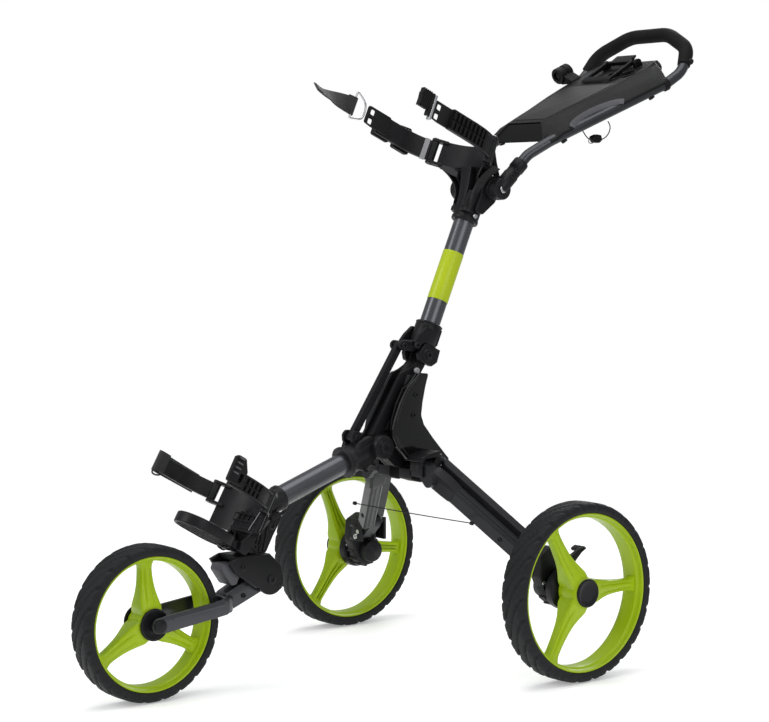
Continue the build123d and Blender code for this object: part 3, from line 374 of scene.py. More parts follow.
def slab(outline, low, high, place, holes=(), bevel=0.8):
    """A plate with rounded edges: outline and holes in X and Y, from low to high in Z, in millimetres."""
    bevel = min(bevel, (high - low) / 2 - 0.01)
    curve = bpy.data.curves.new("slab", "CURVE")
    curve.dimensions = "2D"
    curve.fill_mode = "BOTH"
    for loop in (outline, *holes):
        spline = curve.splines.new("POLY")
        spline.points.add(len(loop) - 1)
        for point, (x, y) in zip(spline.points, loop):
            point.co = (x * MM, y * MM, 0, 1)
        spline.use_cyclic_u = True
    curve.extrude = ((high - low) / 2 - bevel) * MM
    curve.bevel_depth = bevel * MM
    curve.bevel_resolution = 3
    curve.offset = -bevel * MM
    maker = bpy.data.objects.new("slab", curve)
    mesh = bpy.data.meshes.new_from_object(maker)
    bpy.data.objects.remove(maker)
    bpy.data.curves.remove(curve)
    mesh.transform(Matrix.Translation((0, 0, (low + high) / 2 * MM)))
    mesh.transform(place)
    return mesh


def side_slab(outline, left, right, frame_at=None, holes=(), bevel=0.8):
    """A plate seen from the side: outline as (forward, height), or X and Z of a leaning frame."""
    low, high = sorted((-left, -right))
    if frame_at is None:
        place = Matrix.Translation((REAR_AXLE.x, 0, 0)) @ SIDE
    else:
        place = frame_at @ SIDE
    return slab(outline, low, high, place, holes, bevel)


def skin(rings, closed=False):
    """A surface over rings of points, in metres, each ring closed."""
    count = len(rings[0])
    vertices = [v for ring in rings for v in ring]
    faces = []
    for i in range(len(rings) if closed else len(rings) - 1):
        j = (i + 1) % len(rings)
        for k in range(count):
            m = (k + 1) % count
            faces.append((i * count + k, i * count + m, j * count + m, j * count + k))
    if not closed:
        faces.append(tuple(reversed(range(count))))
        faces.append(tuple((len(rings) - 1) * count + k for k in range(count)))
    return mesh_of(vertices, faces)


def turned(profile, place, count, start=0.0, span=360.0):
    """A body turned about the place's Z: profile is a closed loop of (radius, height) in millimetres."""
    whole = span >= 360
    rings = []
    for i in range(count if whole else count + 1):
        a = radians(start + span * i / count)
        rings.append([place @ Vector((r * cos(a) * MM, r * sin(a) * MM, h * MM)) for r, h in profile])
    return skin(rings, closed=whole)


def knob(profile, place, count=32):
    """A body turned about the place's Z from its bottom centre to its top centre."""
    rings = []
    for r, h in profile:
        rings.append([place @ Vector((r * cos(2 * pi * i / count) * MM, r * sin(2 * pi * i / count) * MM,
                                      h * MM))
                      for i in range(count)])
    return skin(rings)


def disc(radius, low, high, place, count):
    """A plain round bar about the place's Z."""
    return knob([(0.01, low), (radius, low), (radius, high), (0.01, high)], place, count)


def along(points, section, up):
    """A section of (across, up) millimetres carried along points in metres.

    up is one direction, or one for each point.
    """
    rings = []
    points = [Vector(p) for p in points]
    for i, point in enumerate(points):
        ahead = points[min(i + 1, len(points) - 1)] - points[max(i - 1, 0)]
        ahead.normalize()
        rise = Vector(up[i]) if isinstance(up, list) else Vector(up)
        across = ahead.cross(rise).normalized()
        rise = across.cross(ahead).normalized()
        shape = section[i] if isinstance(section[0], list) else section
        rings.append([point + across * (u * MM) + rise * (v * MM) for u, v in shape])
    return skin(rings)


def bar_section(width, depth, corner):
    """A rounded rectangle centred on its middle."""
    w, d = width / 2, depth / 2
    return [tuple(p) for p in rounded([(-w, -d), (w, -d), (w, d), (-w, d)], corner, 3)]


def smooth_path(points, resolution, order=4, closed=False):
    """Points along a NURBS spline, in metres."""
    curve = bpy.data.curves.new("path", "CURVE")
    curve.dimensions = "3D"
    spline = curve.splines.new("NURBS")
    spline.points.add(len(points) - 1)
    for point, place in zip(spline.points, points):
        point.co = (*place, 1)
    spline.order_u = min(order, len(points))
    spline.use_endpoint_u = not closed
    spline.use_cyclic_u = closed
    curve.resolution_u = resolution
    maker = bpy.data.objects.new("path", curve)
    mesh = bpy.data.meshes.new_from_object(maker)
    found = [v.co.copy() for v in mesh.vertices]
    bpy.data.objects.remove(maker)
    bpy.data.curves.remove(curve)
    bpy.data.meshes.remove(mesh)
    return found


def arced(points, radii, steps):
    """A run of 3-D points with each inner corner turned on an arc, in metres."""
    radii = radii if isinstance(radii, (list, tuple)) else [radii] * (len(points) - 2)
    out = [Vector(points[0])]
    for i in range(1, len(points) - 1):
        here, radius = Vector(points[i]), radii[i - 1]
        back, on = Vector(points[i - 1]) - here, Vector(points[i + 1]) - here
        half = back.angle(on) / 2
        reach = min(radius / tan(half), 0.49 * back.length, 0.49 * on.length)
        radius = reach * tan(half)
        middle = here + (back.normalized() + on.normalized()).normalized() * (radius / sin(half))
        first = here + back.normalized() * reach - middle
        last = here + on.normalized() * reach - middle
        angle = first.angle(last)
        for k in range(steps + 1):
            t = k / steps
            out.append(middle + (first * sin((1 - t) * angle) + last * sin(t * angle)) / sin(angle))
    out.append(Vector(points[-1]))
    return out


def pipe(points, radius, count, up=(0.0, 1.0, 0.13)):
    """A round bar along points in metres. radius is in millimetres, or one for each point."""
    radii = radius if isinstance(radius, (list, tuple)) else [radius] * len(points)
    sections = [[(r * cos(2 * pi * i / count), r * sin(2 * pi * i / count)) for i in range(count)]
                for r in radii]
    return along(points, sections, up)


def wire_ring(points, radius):
    """A closed ring of bent wire."""
    line = smooth_path(points, 5, 3, closed=True)
    return pipe(line + [line[0].copy()], radius, 12, (0, 1, 0))


WELD = 1e-6  # metres


def joined(meshes):
    """One mesh from several, which are used up."""
    work = bmesh.new()
    for mesh in meshes:
        work.from_mesh(mesh)
        bpy.data.meshes.remove(mesh)
    bmesh.ops.remove_doubles(work, verts=work.verts, dist=WELD)
    bmesh.ops.recalc_face_normals(work, faces=work.faces)
    mesh = bpy.data.meshes.new("joined")
    work.to_mesh(mesh)
    work.free()
    return mesh


def piece(name, meshes, body, slot, replaced=(), angle=35, material=None):
    """A finished piece from its meshes, riding on its body, or left unattached where it stands when body is
    not a name.
    """
    mesh = joined(meshes)
    mesh.name = name
    mesh.shade_smooth()
    mesh.set_sharp_from_angle(angle=radians(angle))
    mesh.materials.append(material or M[slot])
    made = bpy.data.objects.new(name, mesh)
    bpy.context.scene.collection.objects.link(made)
    if isinstance(body, str):
        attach(made, body)
    else:
        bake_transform(made)
    if replaced:
        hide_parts(*replaced)


def facing(place, direction):
    """A frame in metres at place whose Z points in direction."""
    direction = Vector(direction).normalized()
    near_vertical = abs(direction.z) > 0.95
    return axes(place, (1, 0, 0) if near_vertical else (0, 0, 1), direction)


def socket_screw(place, direction, radius, height):
    """A screw head with a hexagon socket, standing on place."""
    r, h = radius, height
    return knob([(0.01, -0.5), (r, -0.5), (r, h * 0.7), (r * 0.9, h * 0.95), (r * 0.8, h), (r * 0.45, h),
                 (r * 0.42, h * 0.4), (0.01, h * 0.35)], facing(place, direction), 24)


# ------------------------------------------------------------------ wheels

def wheel_place(centre, outward):
    """A wheel's frame: Z along the axle, outward."""
    return axes(centre, (1, 0, 0), (0, outward, 0))


TYRE_SECTION, RIM_WIDTH, RIM_LIP, TYRE_WIDTH, AXLE_BORE = 17.0, 44.0, 2.5, 51.0, 6.05


def tyre_mesh(centre, wheel_r, blocks):
    """A solid tyre: curved diagonal grooves across the tread and notched shoulders."""
    seat, lip = wheel_r - TYRE_SECTION - 3.9, wheel_r - TYRE_SECTION + 0.1
    bead, half = RIM_WIDTH / 2 - RIM_LIP - 0.1, TYRE_WIDTH / 2
    # the tread from one rim lip to the other, as (radius, height, how much tread is cut there)
    shoulder = [(lip, RIM_WIDTH / 2 + 0.2, 0), (lip + 1.6, half - 1.2, 0), (lip + 4, half - 0.2, 0.1),
                (wheel_r - 8.5, half, 0.5), (wheel_r - 6.5, half - 0.3, 1), (wheel_r - 4.4, half - 1.2, 1),
                (wheel_r - 2.6, half - 2.8, 1), (wheel_r - 1.4, half - 5, 1), (wheel_r - 0.6, half - 8, 1)]
    crown = [(wheel_r - 0.3 * abs(t) / 5, 17.0 * -t / 5, 1) for t in range(-5, 6)]
    section = shoulder + crown + [(r, -h, c) for r, h, c in reversed(shoulder)]
    count = blocks * 16
    vertices, faces = [], []
    place = wheel_place(centre, 1)
    for i in range(count):
        a = 2 * pi * i / count
        for r, h, cut in section:
            # grooves bend back like an S across the tread
            lean = 0.95 * sin(h / half * 1.5) + 0.22 * h / half
            phase = (a * blocks / (2 * pi) + lean) % 1.0
            side = abs(phase - 0.5) * 2  # 1 at a groove's middle
            groove = max(0.0, min(1.0, (side - 0.74) / 0.13))
            blade = abs((phase * 2) % 1.0 - 0.5) * 2
            slit = max(0.0, min(1.0, (blade - 0.86) / 0.08)) * (1.0 if abs(h) > 9 else 0.0)
            depth = cut * (2.3 * groove + 0.9 * slit)
            radius = r - depth * (0.45 if abs(h) > half - 2 else 1.0)
            inset = depth * (0.55 if abs(h) > half - 4 else 0.0)
            height = h - inset * (1 if h > 0 else -1)
            vertices.append(place @ Vector((radius * cos(a) * MM, radius * sin(a) * MM, height * MM)))
        for r, h in ((lip, -bead), (seat, -bead), (seat, bead), (lip, bead)):
            vertices.append(place @ Vector((r * cos(a) * MM, r * sin(a) * MM, h * MM)))
    ring = len(section) + 4
    for i in range(count):
        j = (i + 1) % count
        for k in range(ring):
            m = (k + 1) % ring
            faces.append((i * ring + k, j * ring + k, j * ring + m, i * ring + m))
    return mesh_of(vertices, faces)


def spoke_mesh(place, angle, hub_r, inner):
    """One spoke: wide and flaring at the hub, with ridges outside and two ribs inside."""
    rings = []
    stations = 26
    reach = inner + 3 - (hub_r - 9)
    for i in range(stations + 1):
        t = i / stations
        r = hub_r - 9 + reach * t
        from_hub, from_rim = max(0.0, r - hub_r), max(0.0, inner - r)
        w = 9.2 + 9.5 * exp(-(from_hub / 34.0) ** 1.3) + 5 * exp(-(from_rim / 5.0) ** 1.6)
        face = 8.6 + 12.6 * exp(-(from_hub / 24.0) ** 1.3) + 1.2 * exp(-(from_rim / 12.0) ** 2)
        back = -8.6 - 7.5 * exp(-(from_hub / 20.0) ** 1.6)
        ridge = min(1.0, max(0.0, (r - hub_r - 4) / 8)) * min(1.0, max(0.0, (inner - 3 - r) / 8))
        groove = 2.6 * ridge
        c = w * 0.40
        top = [(w * 0.98, face - 4.4), (w * 0.86, face - 2.0), (w * 0.62, face - 1.0),
               (c + 2.2, face - 0.8), (c + 0.4, face - 0.8 - groove * 0.3),
               (c - 1.4, face - 0.8 + groove * 0.55), (c - 3.2, face - 0.4 + groove * 0.6)]
        low = [(w * 0.98, back + 4.0), (w * 0.90, back + 1.2), (w * 0.62, back), (c + 0.6, back),
               (c - 0.7, back + groove * 1.6), (c - 3.1, back + groove * 1.6), (0.9, back + 0.3 * ridge)]
        half_ring = top + [(-x, y) for x, y in reversed(top)]
        under = [(-x, y) for x, y in low] + list(reversed(low))
        section = half_ring + under
        a = radians(angle)
        radial, tangent = Vector((cos(a), sin(a), 0)), Vector((-sin(a), cos(a), 0))
        rings.append([place @ ((radial * r + tangent * x + Vector((0, 0, y))) * MM) for x, y in section])
    return skin(rings)


def rim_mesh(centre, wheel_r, outward, angles, hub_r):
    """A one-piece wheel: stepped barrel, three spokes and a hub."""
    place = wheel_place(centre, outward)
    lip, seat = wheel_r - TYRE_SECTION, wheel_r - TYRE_SECTION - 4.0
    inner, half = lip - 8.0, RIM_WIDTH / 2
    section = [
        (lip, half), (lip + 0.05, half - 0.6), (lip, half - RIM_LIP), (seat, half - RIM_LIP),
        (seat, RIM_LIP - half), (lip, RIM_LIP - half), (lip + 0.05, 0.6 - half), (lip, -half),
        (lip - 0.8, -half - 0.5), (lip - 2.6, -half - 0.4), (lip - 3.4, 0.8 - half),
        (lip - 4.2, 4.5 - half), (lip - 5.6, 5.6 - half), (inner + 0.3, 8.5 - half), (inner, 13 - half),
        (inner, half - 13), (inner + 0.4, half - 10.5), (lip - 5.4, half - 8.6), (lip - 4.4, half - 7.2),
        (lip - 3.6, half - 2.2), (lip - 2.9, half - 0.2), (lip - 2.2, half + 0.6), (lip - 0.7, half + 0.6),
    ]
    parts = [turned(section, place, 144)]
    parts += [spoke_mesh(place, angle, hub_r, inner) for angle in angles]
    top = 22.4
    hub = [(AXLE_BORE, -top), (hub_r - 7, -top), (hub_r - 5, 1.5 - top), (hub_r - 3.5, -14.5),
           (hub_r - 1, -8), (hub_r, 0), (hub_r - 0.6, 12), (hub_r - 1.6, 17.4), (hub_r - 3.2, top - 1.2),
           (hub_r - 4.4, top), (AXLE_BORE, top)]
    parts.append(turned(hub, place, 72))
    return parts


CAP_LOW, CAP_HIGH = 22.6, 26.4


def cap_mesh(centre, outward, radius):
    """A wheel's dust cap, with a shallow dished middle."""
    high = CAP_HIGH
    profile = [(0.01, CAP_LOW), (radius - 0.6, CAP_LOW), (radius, CAP_LOW + 0.6), (radius, high - 1.4),
               (radius - 0.5, high - 0.5), (radius - 1.5, high), (radius - 3.4, high),
               (radius - 4.4, high - 0.6), (radius * 0.5, high - 0.9), (0.01, high - 1.0)]
    return knob(profile, wheel_place(centre, outward), 64)


REAR_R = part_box("rear_tyre_left")[1][2] / MM / 2
FRONT_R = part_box("front_tyre")[1][2] / MM / 2
# the spokes' angles, as each wheel's own outward frame has them
for side, sign, spokes in (("left", 1, (-180, -60, 60)), ("right", -1, (187, 307, 67))):
    axle_at = pivot(f"wheel_{side}_spin")
    body = f"wheel_{side}"
    piece(f"tread_{side}", [tyre_mesh(axle_at, REAR_R, 26)], body, "tyre", [f"rear_tyre_{side}"], 50)
    rim_parts = rim_mesh(axle_at, REAR_R, sign, spokes, 27.0)
    piece(f"wheel_rim_{side}", rim_parts, body, "lime_rim", [f"rear_rim_{side}"], 32)
    drum = [(AXLE_BORE, -41.5), (30, -41.5), (33, -40), (33.8, -36), (33.8, -27), (31, -24.5), (22, -22),
            (AXLE_BORE, -22)]
    piece(f"brake_drum_{side}", [turned(drum, wheel_place(axle_at, sign), 72)], body, "hub_cap")
    piece(f"dust_cap_{side}", [cap_mesh(axle_at, sign, 23.3)], body, "hub_cap",
          [f"hub_cap_{side}"])

piece("tread_front", [tyre_mesh(FRONT_AXLE, FRONT_R, 22)], "wheel_front", "tyre", ["front_tyre"], 50)
front_parts = rim_mesh(FRONT_AXLE, FRONT_R, 1, (-88, -208, -328), 25.5)
piece("wheel_rim_front", front_parts, "wheel_front", "lime_rim", ["front_rim"], 32)
piece("dust_caps_front", [cap_mesh(FRONT_AXLE, s, 25.3) for s in (1, -1)],
      "wheel_front", "hub_cap", ["front_hub_caps"])

# ------------------------------------------------------------------ cradle pieces

def cradle(frame_at, centre):
    """The frame of a cradle: Z along the bag, starting on the bag's own axis."""
    return frame_at @ Matrix.Translation((centre * MM, 0, 0))


def pin_at(centre, side):
    """A cradle arm's hinge in its cradle's frame, in millimetres."""
    radius, a = CRADLE_R + 3.5, radians(128)
    return centre + radius * cos(a), side * radius * sin(a)


def band(place, thick, low, high, start, stop, lip, count):
    """A curved wall with a thick lip along both its edges, from start to stop degrees."""
    inner, out = CRADLE_R, CRADLE_R + thick
    profile = [(inner, low + 0.6), (inner + 0.6, low), (out + lip - 0.8, low), (out + lip, low + 0.8),
               (out + lip, low + 2.8), (out, low + 4.6), (out, high - 4.6), (out + lip, high - 2.8),
               (out + lip, high - 0.8), (out + lip - 0.8, high), (inner + 0.6, high), (inner, high - 0.6)]
    return turned(profile, place, count, start, stop - start)


def rib(place, outline, thick, angle):
    """A flat rib standing on a cradle's back, in the plane through its axis at angle degrees."""
    turn = Matrix.Rotation(radians(angle), 4, "Z")
    return slab(outline, -thick / 2, thick / 2, place @ turn @ SIDE, bevel=0.5)


def hinge_barrels(frame_at, centre, low, high):
    """The fixed eyes that hold the cradle arms' pins."""
    parts = []
    for side in (1, -1):
        x, y = pin_at(centre, side)
        for a, b in ((low, low + 5), (high - 5, high)):
            ring = [(0.01, a), (6.6, a), (7.3, a + 0.7), (7.3, b - 0.7), (6.6, b), (0.01, b)]
            parts.append(knob(ring, frame_at @ Matrix.Translation((x * MM, y * MM, 0)), 28))
            inward = radians(142)
            ix, iy = centre + (CRADLE_R + 3) * cos(inward), side * (CRADLE_R + 3) * sin(inward)
            run = Vector((ix - x, iy - y)).normalized()
            square = Vector((-run.y, run.x)) * 7.0
            here, there = Vector((x, y)), Vector((ix, iy))
            parts.append(slab([here - square, here + square, there + square, there - square], a, b,
                              frame_at, bevel=0.6))
    return parts


def cradle_arm(frame_at, centre, side, low, high, tip, ladder):
    """A cradle arm: curved wall, straight wall, hinge barrel and cross ribs."""
    place = cradle(frame_at, centre)
    thick = 6.0
    start, stop = (90, 124) if side > 0 else (236, 270)
    parts = [band(place, thick, low, high, start, stop, 2.6, 18)]
    inner, outer = side * CRADLE_R, side * (CRADLE_R + thick)
    wall = [(inner, low + 0.6), (inner + side * 0.6, low), (outer + side * 2, low),
            (outer + side * 2.6, low + 0.8), (outer + side * 2.6, low + 2.8), (outer, low + 4.6),
            (outer, high - 4.6), (outer + side * 2.6, high - 2.8), (outer + side * 2.6, high - 0.8),
            (outer + side * 2, high), (inner + side * 0.6, high), (inner, high - 0.6)]
    rings = []
    for x in (centre - 0.5, (centre + tip) / 2, tip):
        rings.append(placed(frame_at, [(x, y, z) for y, z in wall]))
    parts.append(skin(rings))
    x, y = pin_at(centre, side)
    barrel = [(0.01, low), (6.4, low), (7.0, low + 0.6), (7.0, high - 0.6), (6.4, high), (0.01, high)]
    parts.append(knob(barrel, frame_at @ Matrix.Translation((x * MM, y * MM, 0)), 28))
    if ladder:
        middle = (low + high) / 2
        for k in range(int((tip - centre + 30) / 9.5)):
            x0 = centre - 26 + 9.5 * k
            for z0 in (low + 3, middle + 1.4):
                rung = pad(x0, z0, x0 + 4.4, z0 + middle - low - 4.6, 1)
                reach = sqrt(max(0.0, (CRADLE_R + 9) ** 2 - min(0.0, x0 - centre) ** 2))
                parts.append(side_slab(rung, side * (reach - 5), side * (reach + 1.2), frame_at, bevel=0.5))
    return parts


def strap_loop(frame_at, x, y, low, high, wide, deep, thick):
    """A flat keeper ring round a strap, seen along the strap as a rounded frame."""
    outer = pad(y - deep / 2 - thick, low - thick, y + deep / 2 + thick, high + thick, 2.0)
    inner = pad(y - deep / 2, low, y + deep / 2, high, 1.2)
    return slab(outer, x - wide / 2, x + wide / 2, frame_at @ END_ON, [inner], 0.6)


# ------------------------------------------------------------------ upper bag bracket

UPPER_CENTRE, UPPER_LOW, UPPER_HIGH = 115.0, 331.0, 377.0
ARM_LOW, ARM_HIGH = UPPER_LOW + 5.4, UPPER_HIGH - 5.4
SLEEVE_LOW, SLEEVE_HIGH, TUBE_R = 245.0, 297.0, 17.5
DRUM_X = (UPPER.inverted() @ pivot("handle_angle")).x / MM  # in the upper frame, in millimetres


def wing_mesh():
    """The casting's front: a smooth middle panel and two flaring edges, with deep hollows between them."""
    rings = []
    stations = 22
    for i in range(stations + 1):
        t = i / stations
        s = 258 + (UPPER_LOW + 3 - 258) * t
        w = 22.5 + 7 * t + 44 * max(0.0, (t - 0.35) / 0.65) ** 2.2
        front = 22.6 + 1.5 * t + 19 * max(0.0, t - 0.3) ** 1.6
        back = -6 + 24 * t
        hollow = 13.0 * min(1.0, max(0.0, (t - 0.10) / 0.2)) * min(1.0, (1.02 - t) / 0.06)
        panel, edge = 7.5 + 5.5 * t, w - 3.6 - 3.0 * t
        round_off = 6.0 * (1 - t) + 1.5
        ups = [(0.0, 0.0), (panel * 0.7, 0.2), (panel, 0.9), (panel + 1.6, hollow),
               ((panel + edge) / 2, hollow + 1.0), (edge - 1.4, hollow), (edge, round_off * 0.5),
               (w - 1.2, round_off * 0.8), (w, round_off * 1.4)]
        front_side = [(front - d, -y) for y, d in reversed(ups)] + [(front - d, y) for y, d in ups[1:]]
        back_side = [(back + 2, w), (back, w - 3), (back, 3 - w), (back + 2, -w)]
        rings.append(placed(UPPER, [(x, y, s) for x, y in front_side + back_side]))
    return skin(rings)


upper_place = cradle(UPPER, UPPER_CENTRE)
parts = [
    turned([(TUBE_R + 0.05, SLEEVE_LOW), (TUBE_R + 4.8, SLEEVE_LOW), (TUBE_R + 6, SLEEVE_LOW + 1.5),
            (TUBE_R + 6, SLEEVE_LOW + 6), (TUBE_R + 5, SLEEVE_LOW + 8), (TUBE_R + 5.4, SLEEVE_HIGH - 18),
            (TUBE_R + 5.4, SLEEVE_HIGH), (TUBE_R + 0.05, SLEEVE_HIGH)], UPPER, 64),
    wing_mesh(),
    band(upper_place, 6.5, UPPER_LOW, UPPER_HIGH, 136, 224, 2.4, 44),
]
for angle in (144, 155, 166, 194, 205, 216):
    outline = [(CRADLE_R + 5, UPPER_LOW + 1), (CRADLE_R + 12, UPPER_LOW + 1),
               (CRADLE_R + 9, UPPER_HIGH - 8), (CRADLE_R + 5, UPPER_HIGH - 2)]
    parts.append(rib(upper_place, outline, 3.0, angle))
back = rounded([(8, 292), (20, 322), (23, 372), (12, 376), (-2, 356), (-24, 330), (-29, 316), (-25, 292),
                (-8, 262), (8, 262)], 5)
lighten = rounded([(0, 330), (12, 345), (13, 362), (4, 352), (-8, 334)], 2)
for side in (1, -1):
    parts.append(side_slab(back, side * 26, side * 32.6, UPPER, [lighten]))
parts.append(side_slab(rounded([(8, 292), (18, 322), (20, 366), (10, 366), (-14, 322), (-14, 292)], 4), 26,
                       -26, UPPER))
drum = [(0.01, -25.9), (13.5, -25.9), (14, -25), (14, -20), (18.1, -19), (18.5, -18), (18.5, 18),
        (18.1, 19), (14, 20), (14, 25), (13.5, 25.9), (0.01, 25.9)]
drum_place = axes(pivot("handle_angle"), UPPER.to_3x3().col[0], (0, 1, 0))
parts.append(knob([(r, h * 1.26) for r, h in drum], drum_place, 48))
# webs that brace the cradle's ends from the drum
for side in (1, -1):
    web = [Vector((DRUM_X + 4, side * 24, 312)), Vector((24, side * 30, 334)), Vector((48, side * 63, 334))]
    foot = [Vector((DRUM_X + 8, side * 20, 300)), Vector((26, side * 26, 318)),
            Vector((44, side * 52, 326))]
    rings = []
    for a, b in zip(web, foot):
        off = Vector((0, side * 3.4, 0))
        rings.append(placed(UPPER, (a, a + off, b + off, b)))
    parts.append(skin(rings))
parts += hinge_barrels(UPPER, UPPER_CENTRE, UPPER_LOW, UPPER_HIGH)
piece("upper_casting", parts, "upper", "casting", ["upper_bracket"], 40)

bolts = []
for side in (1, -1):
    bolts.append(socket_screw(UPPER @ Vector((0, side * 23.2 * MM, 256 * MM)), (0, side, 0), 4.2, 3.0))
    bolts.append(socket_screw(pivot("handle_angle") + Vector((0, side * 60.2 * MM, 0)), (0, side, 0), 7.0,
                              1.6))
    x, y = pin_at(UPPER_CENTRE, side)
    head = UPPER @ (Vector((x, y, UPPER_HIGH)) * MM)
    bolts.append(socket_screw(head, UPPER_LEAN, 4.0, 2.2))
piece("upper_bolts", bolts, "upper", "steel", ["bracket_fasteners"])

piece("near_arm", cradle_arm(UPPER, UPPER_CENTRE, 1, ARM_LOW, ARM_HIGH, 172, True), "arm_left",
      "cradle_arm", ["upper_arm_left"])
far_arm = cradle_arm(UPPER, UPPER_CENTRE, -1, ARM_LOW, ARM_HIGH, 172, False)
piece("far_arm", far_arm, "arm_right", "cradle_arm", ["upper_arm_right"])


def buckle_link(side, stop):
    """A rubber link with two windows and thick edges, lying inside an arm's tip."""
    start, low, high = 152, 337, 373
    y = side * (CRADLE_R - 0.4)
    middle = (low + high) / 2
    outline = rounded([(start, low + 2), (stop - 16, low + 2), (stop, low + 4), (stop, high - 1),
                       (start, high - 1)], 4)
    windows = [rounded([(stop - 16, z - 5.2), (stop - 6, z - 4.6), (stop - 6, z + 4.6),
                        (stop - 16, z + 5.2)], 2.4)
               for z in (middle - 8.2, middle + 8.2)]
    return side_slab(outline, y, y - side * 4.6, UPPER, windows, 0.9)


piece("near_link", [buckle_link(1, 208)], "arm_left", "rubber_link", ["left_link"])
piece("far_link", [buckle_link(-1, 204)], "arm_right", "rubber_link", ["right_link"])

# near arm's end: a steel bar and a ribbed hook
bar = side_slab(rounded([(207.6, 335), (212.6, 335), (214.0, 378), (209.0, 378)], 1.6), 87, 95.5, UPPER,
                bevel=0.7)
piece("near_bar", [bar], "arm_left", "steel")
parts = [side_slab(rounded([(214, 340), (219, 339), (221, 378), (215, 378)], 2), 86.6, 96.4, UPPER)]
outline = rounded([(218, 350), (232, 349), (241, 355), (243, 370), (236, 378), (226, 377), (218, 368)], 3.4)
parts.append(side_slab(outline, 87.4, 95.2, UPPER))
for k in range(5):
    parts.append(side_slab(pad(222 + 4.2 * k, 348, 224 + 4.2 * k, 379, 0.8), 86.6, 96.0, UPPER, bevel=0.4))
piece("near_hook", parts, "arm_left", "cradle_arm", ["left_hook"])

# far arm: keeper, cam buckle and ratchet block
parts = []
y = -CRADLE_R - 8.2
parts.append(side_slab(rounded([(86, 333), (122, 333), (122, 375), (96, 379), (86, 368)], 4), y, y - 9.6,
                       UPPER))
parts.append(side_slab(pad(92, 337, 104, 371, 3), y - 9, y - 11.4, UPPER))
for z in (341, 349, 357, 365):
    parts.append(side_slab(pad(108, z, 119, z + 4, 1), y - 9, y - 10.8, UPPER, bevel=0.5))
parts.append(side_slab(pad(134, 334, 172, 374, 4), y, y - 6.6, UPPER, [pad(146, 340, 162, 368, 3)]))
for x in (140, 150, 160):
    parts.append(side_slab(pad(x, 336, x + 4, 372, 1), y - 2, y - 8, UPPER, bevel=0.5))
piece("far_buckle", parts, "arm_right", "cradle_arm", ["right_buckle"])
ring_place = cradle(UPPER, UPPER_CENTRE) @ Matrix.Rotation(radians(236), 4, "Z") @ Matrix.Translation(
    (CRADLE_R * MM, 0, 0)) @ Matrix.Rotation(radians(90), 4, "Z")
piece("far_keeper", [strap_loop(ring_place, 8, -4.0, ARM_LOW + 0.6, ARM_HIGH - 0.6, 9, 9.4, 1.6)],
      "arm_right", "button_grey")

ring_points = placed(UPPER, [(x, -94.5, z) for x, z in (
    (205, 355), (208, 372), (222, 380), (231, 384), (233, 383), (233, 337), (231, 335.5), (222, 339),
    (208, 343))])
piece("far_ring", [wire_ring(ring_points, 1.75)], "arm_right", "steel", ["strap_ring"])


def strap(points, width, thick, up):
    """A flat strap with softly rounded edges along points in metres."""
    return along(points, bar_section(thick, width, 0.9), up)


tail = placed(UPPER, (
    (228, -94.4, 357), (233, -96.4, 357), (240, -98, 357), (256, -102, 356),
    (272, -103.5, 354), (286, -101, 353), (298, -98.6, 352), (308, -97.5, 353), (315, -97, 354)))
tail_line = smooth_path(tail, 5)
widths = []
for i, point in enumerate(tail_line):
    t = i / (len(tail_line) - 1)
    widths.append(bar_section(2.2, 33 - 14 * max(0.0, t - 0.35) ** 1.2, 0.9))
tail_ups = []
for i in range(len(tail_line)):
    twist = min(1.0, 1.5 * i / (len(tail_line) - 1)) * radians(52)
    tail_ups.append(UPPER_LEAN * cos(twist) + Vector((0, -1, 0)) * sin(twist))
tail_meshes = [along(tail_line, widths, tail_ups)]
fold = placed(UPPER, ((229, -93.2, 357), (233.5, -91.6, 357), (238, -93.8, 357), (246, -97, 357)))
tail_meshes.append(strap(smooth_path(fold, 5), 32, 2.0, UPPER_LEAN))
stitched = placed(UPPER, ((303, -97.4, 353), (309, -96, 353), (314.5, -95.4, 354)))
tail_meshes.append(strap(stitched, 20, 3.4, tail_ups[-1]))
piece("far_strap_tail", tail_meshes, "arm_right", "webbing", ["strap_tail"], 50)

# ------------------------------------------------------------------ handle and console

HANDLE_LINE = [(-58, 797, 50), (-112, 856, 62), (-152, 880, 75), (-386, 984, 121),
               (-424, 1008, 126), (-450, 1050, 112), (-468, 1080, 48)]
HANDLE_BENDS = [45.0, 60.0, 38.0, 60.0, 40.0, 55.0, 70.0]


def handle_run(points):
    """The left side's points carried on through their mirror image."""
    return [at(f, h, y) for f, h, y in points] + [at(f, h, -y) for f, h, y in reversed(points)]


run = handle_run(HANDLE_LINE)
run[0], run[-1] = run[0].lerp(run[1], 0.3), run[-1].lerp(run[-2], 0.3)
bends = [r * MM for r in HANDLE_BENDS + HANDLE_BENDS[::-1]]
piece("handle_bar", [pipe(arced(run, bends, 12), 9.5, 32)], "handle", "handle_paint", ["handle_tube"])

GRIP_START = (-430, 1019, 123)
grip_line = arced(handle_run([GRIP_START] + HANDLE_LINE[5:]), [r * MM for r in (55, 70, 70, 55)], 14)
grip_radii = []
for i in range(len(grip_line)):
    end = min(i, len(grip_line) - 1 - i)
    grip_radii.append(13.0 if end > 1 else (11.6, 12.8)[end])
piece("handle_foam", [pipe(grip_line, grip_radii, 32)], "handle", "grip", ["handle_grip"])
knob_at = at(-438, 1032, 120)
piece("grip_button", [knob([(0.01, 0), (5.4, 0), (5.4, 4), (4.6, 5.2), (0.01, 5.4)],
                           facing(knob_at + Vector((0, 0.010, -0.006)), (-0.2, 1, -0.4)))],
      "handle", "console_shell")

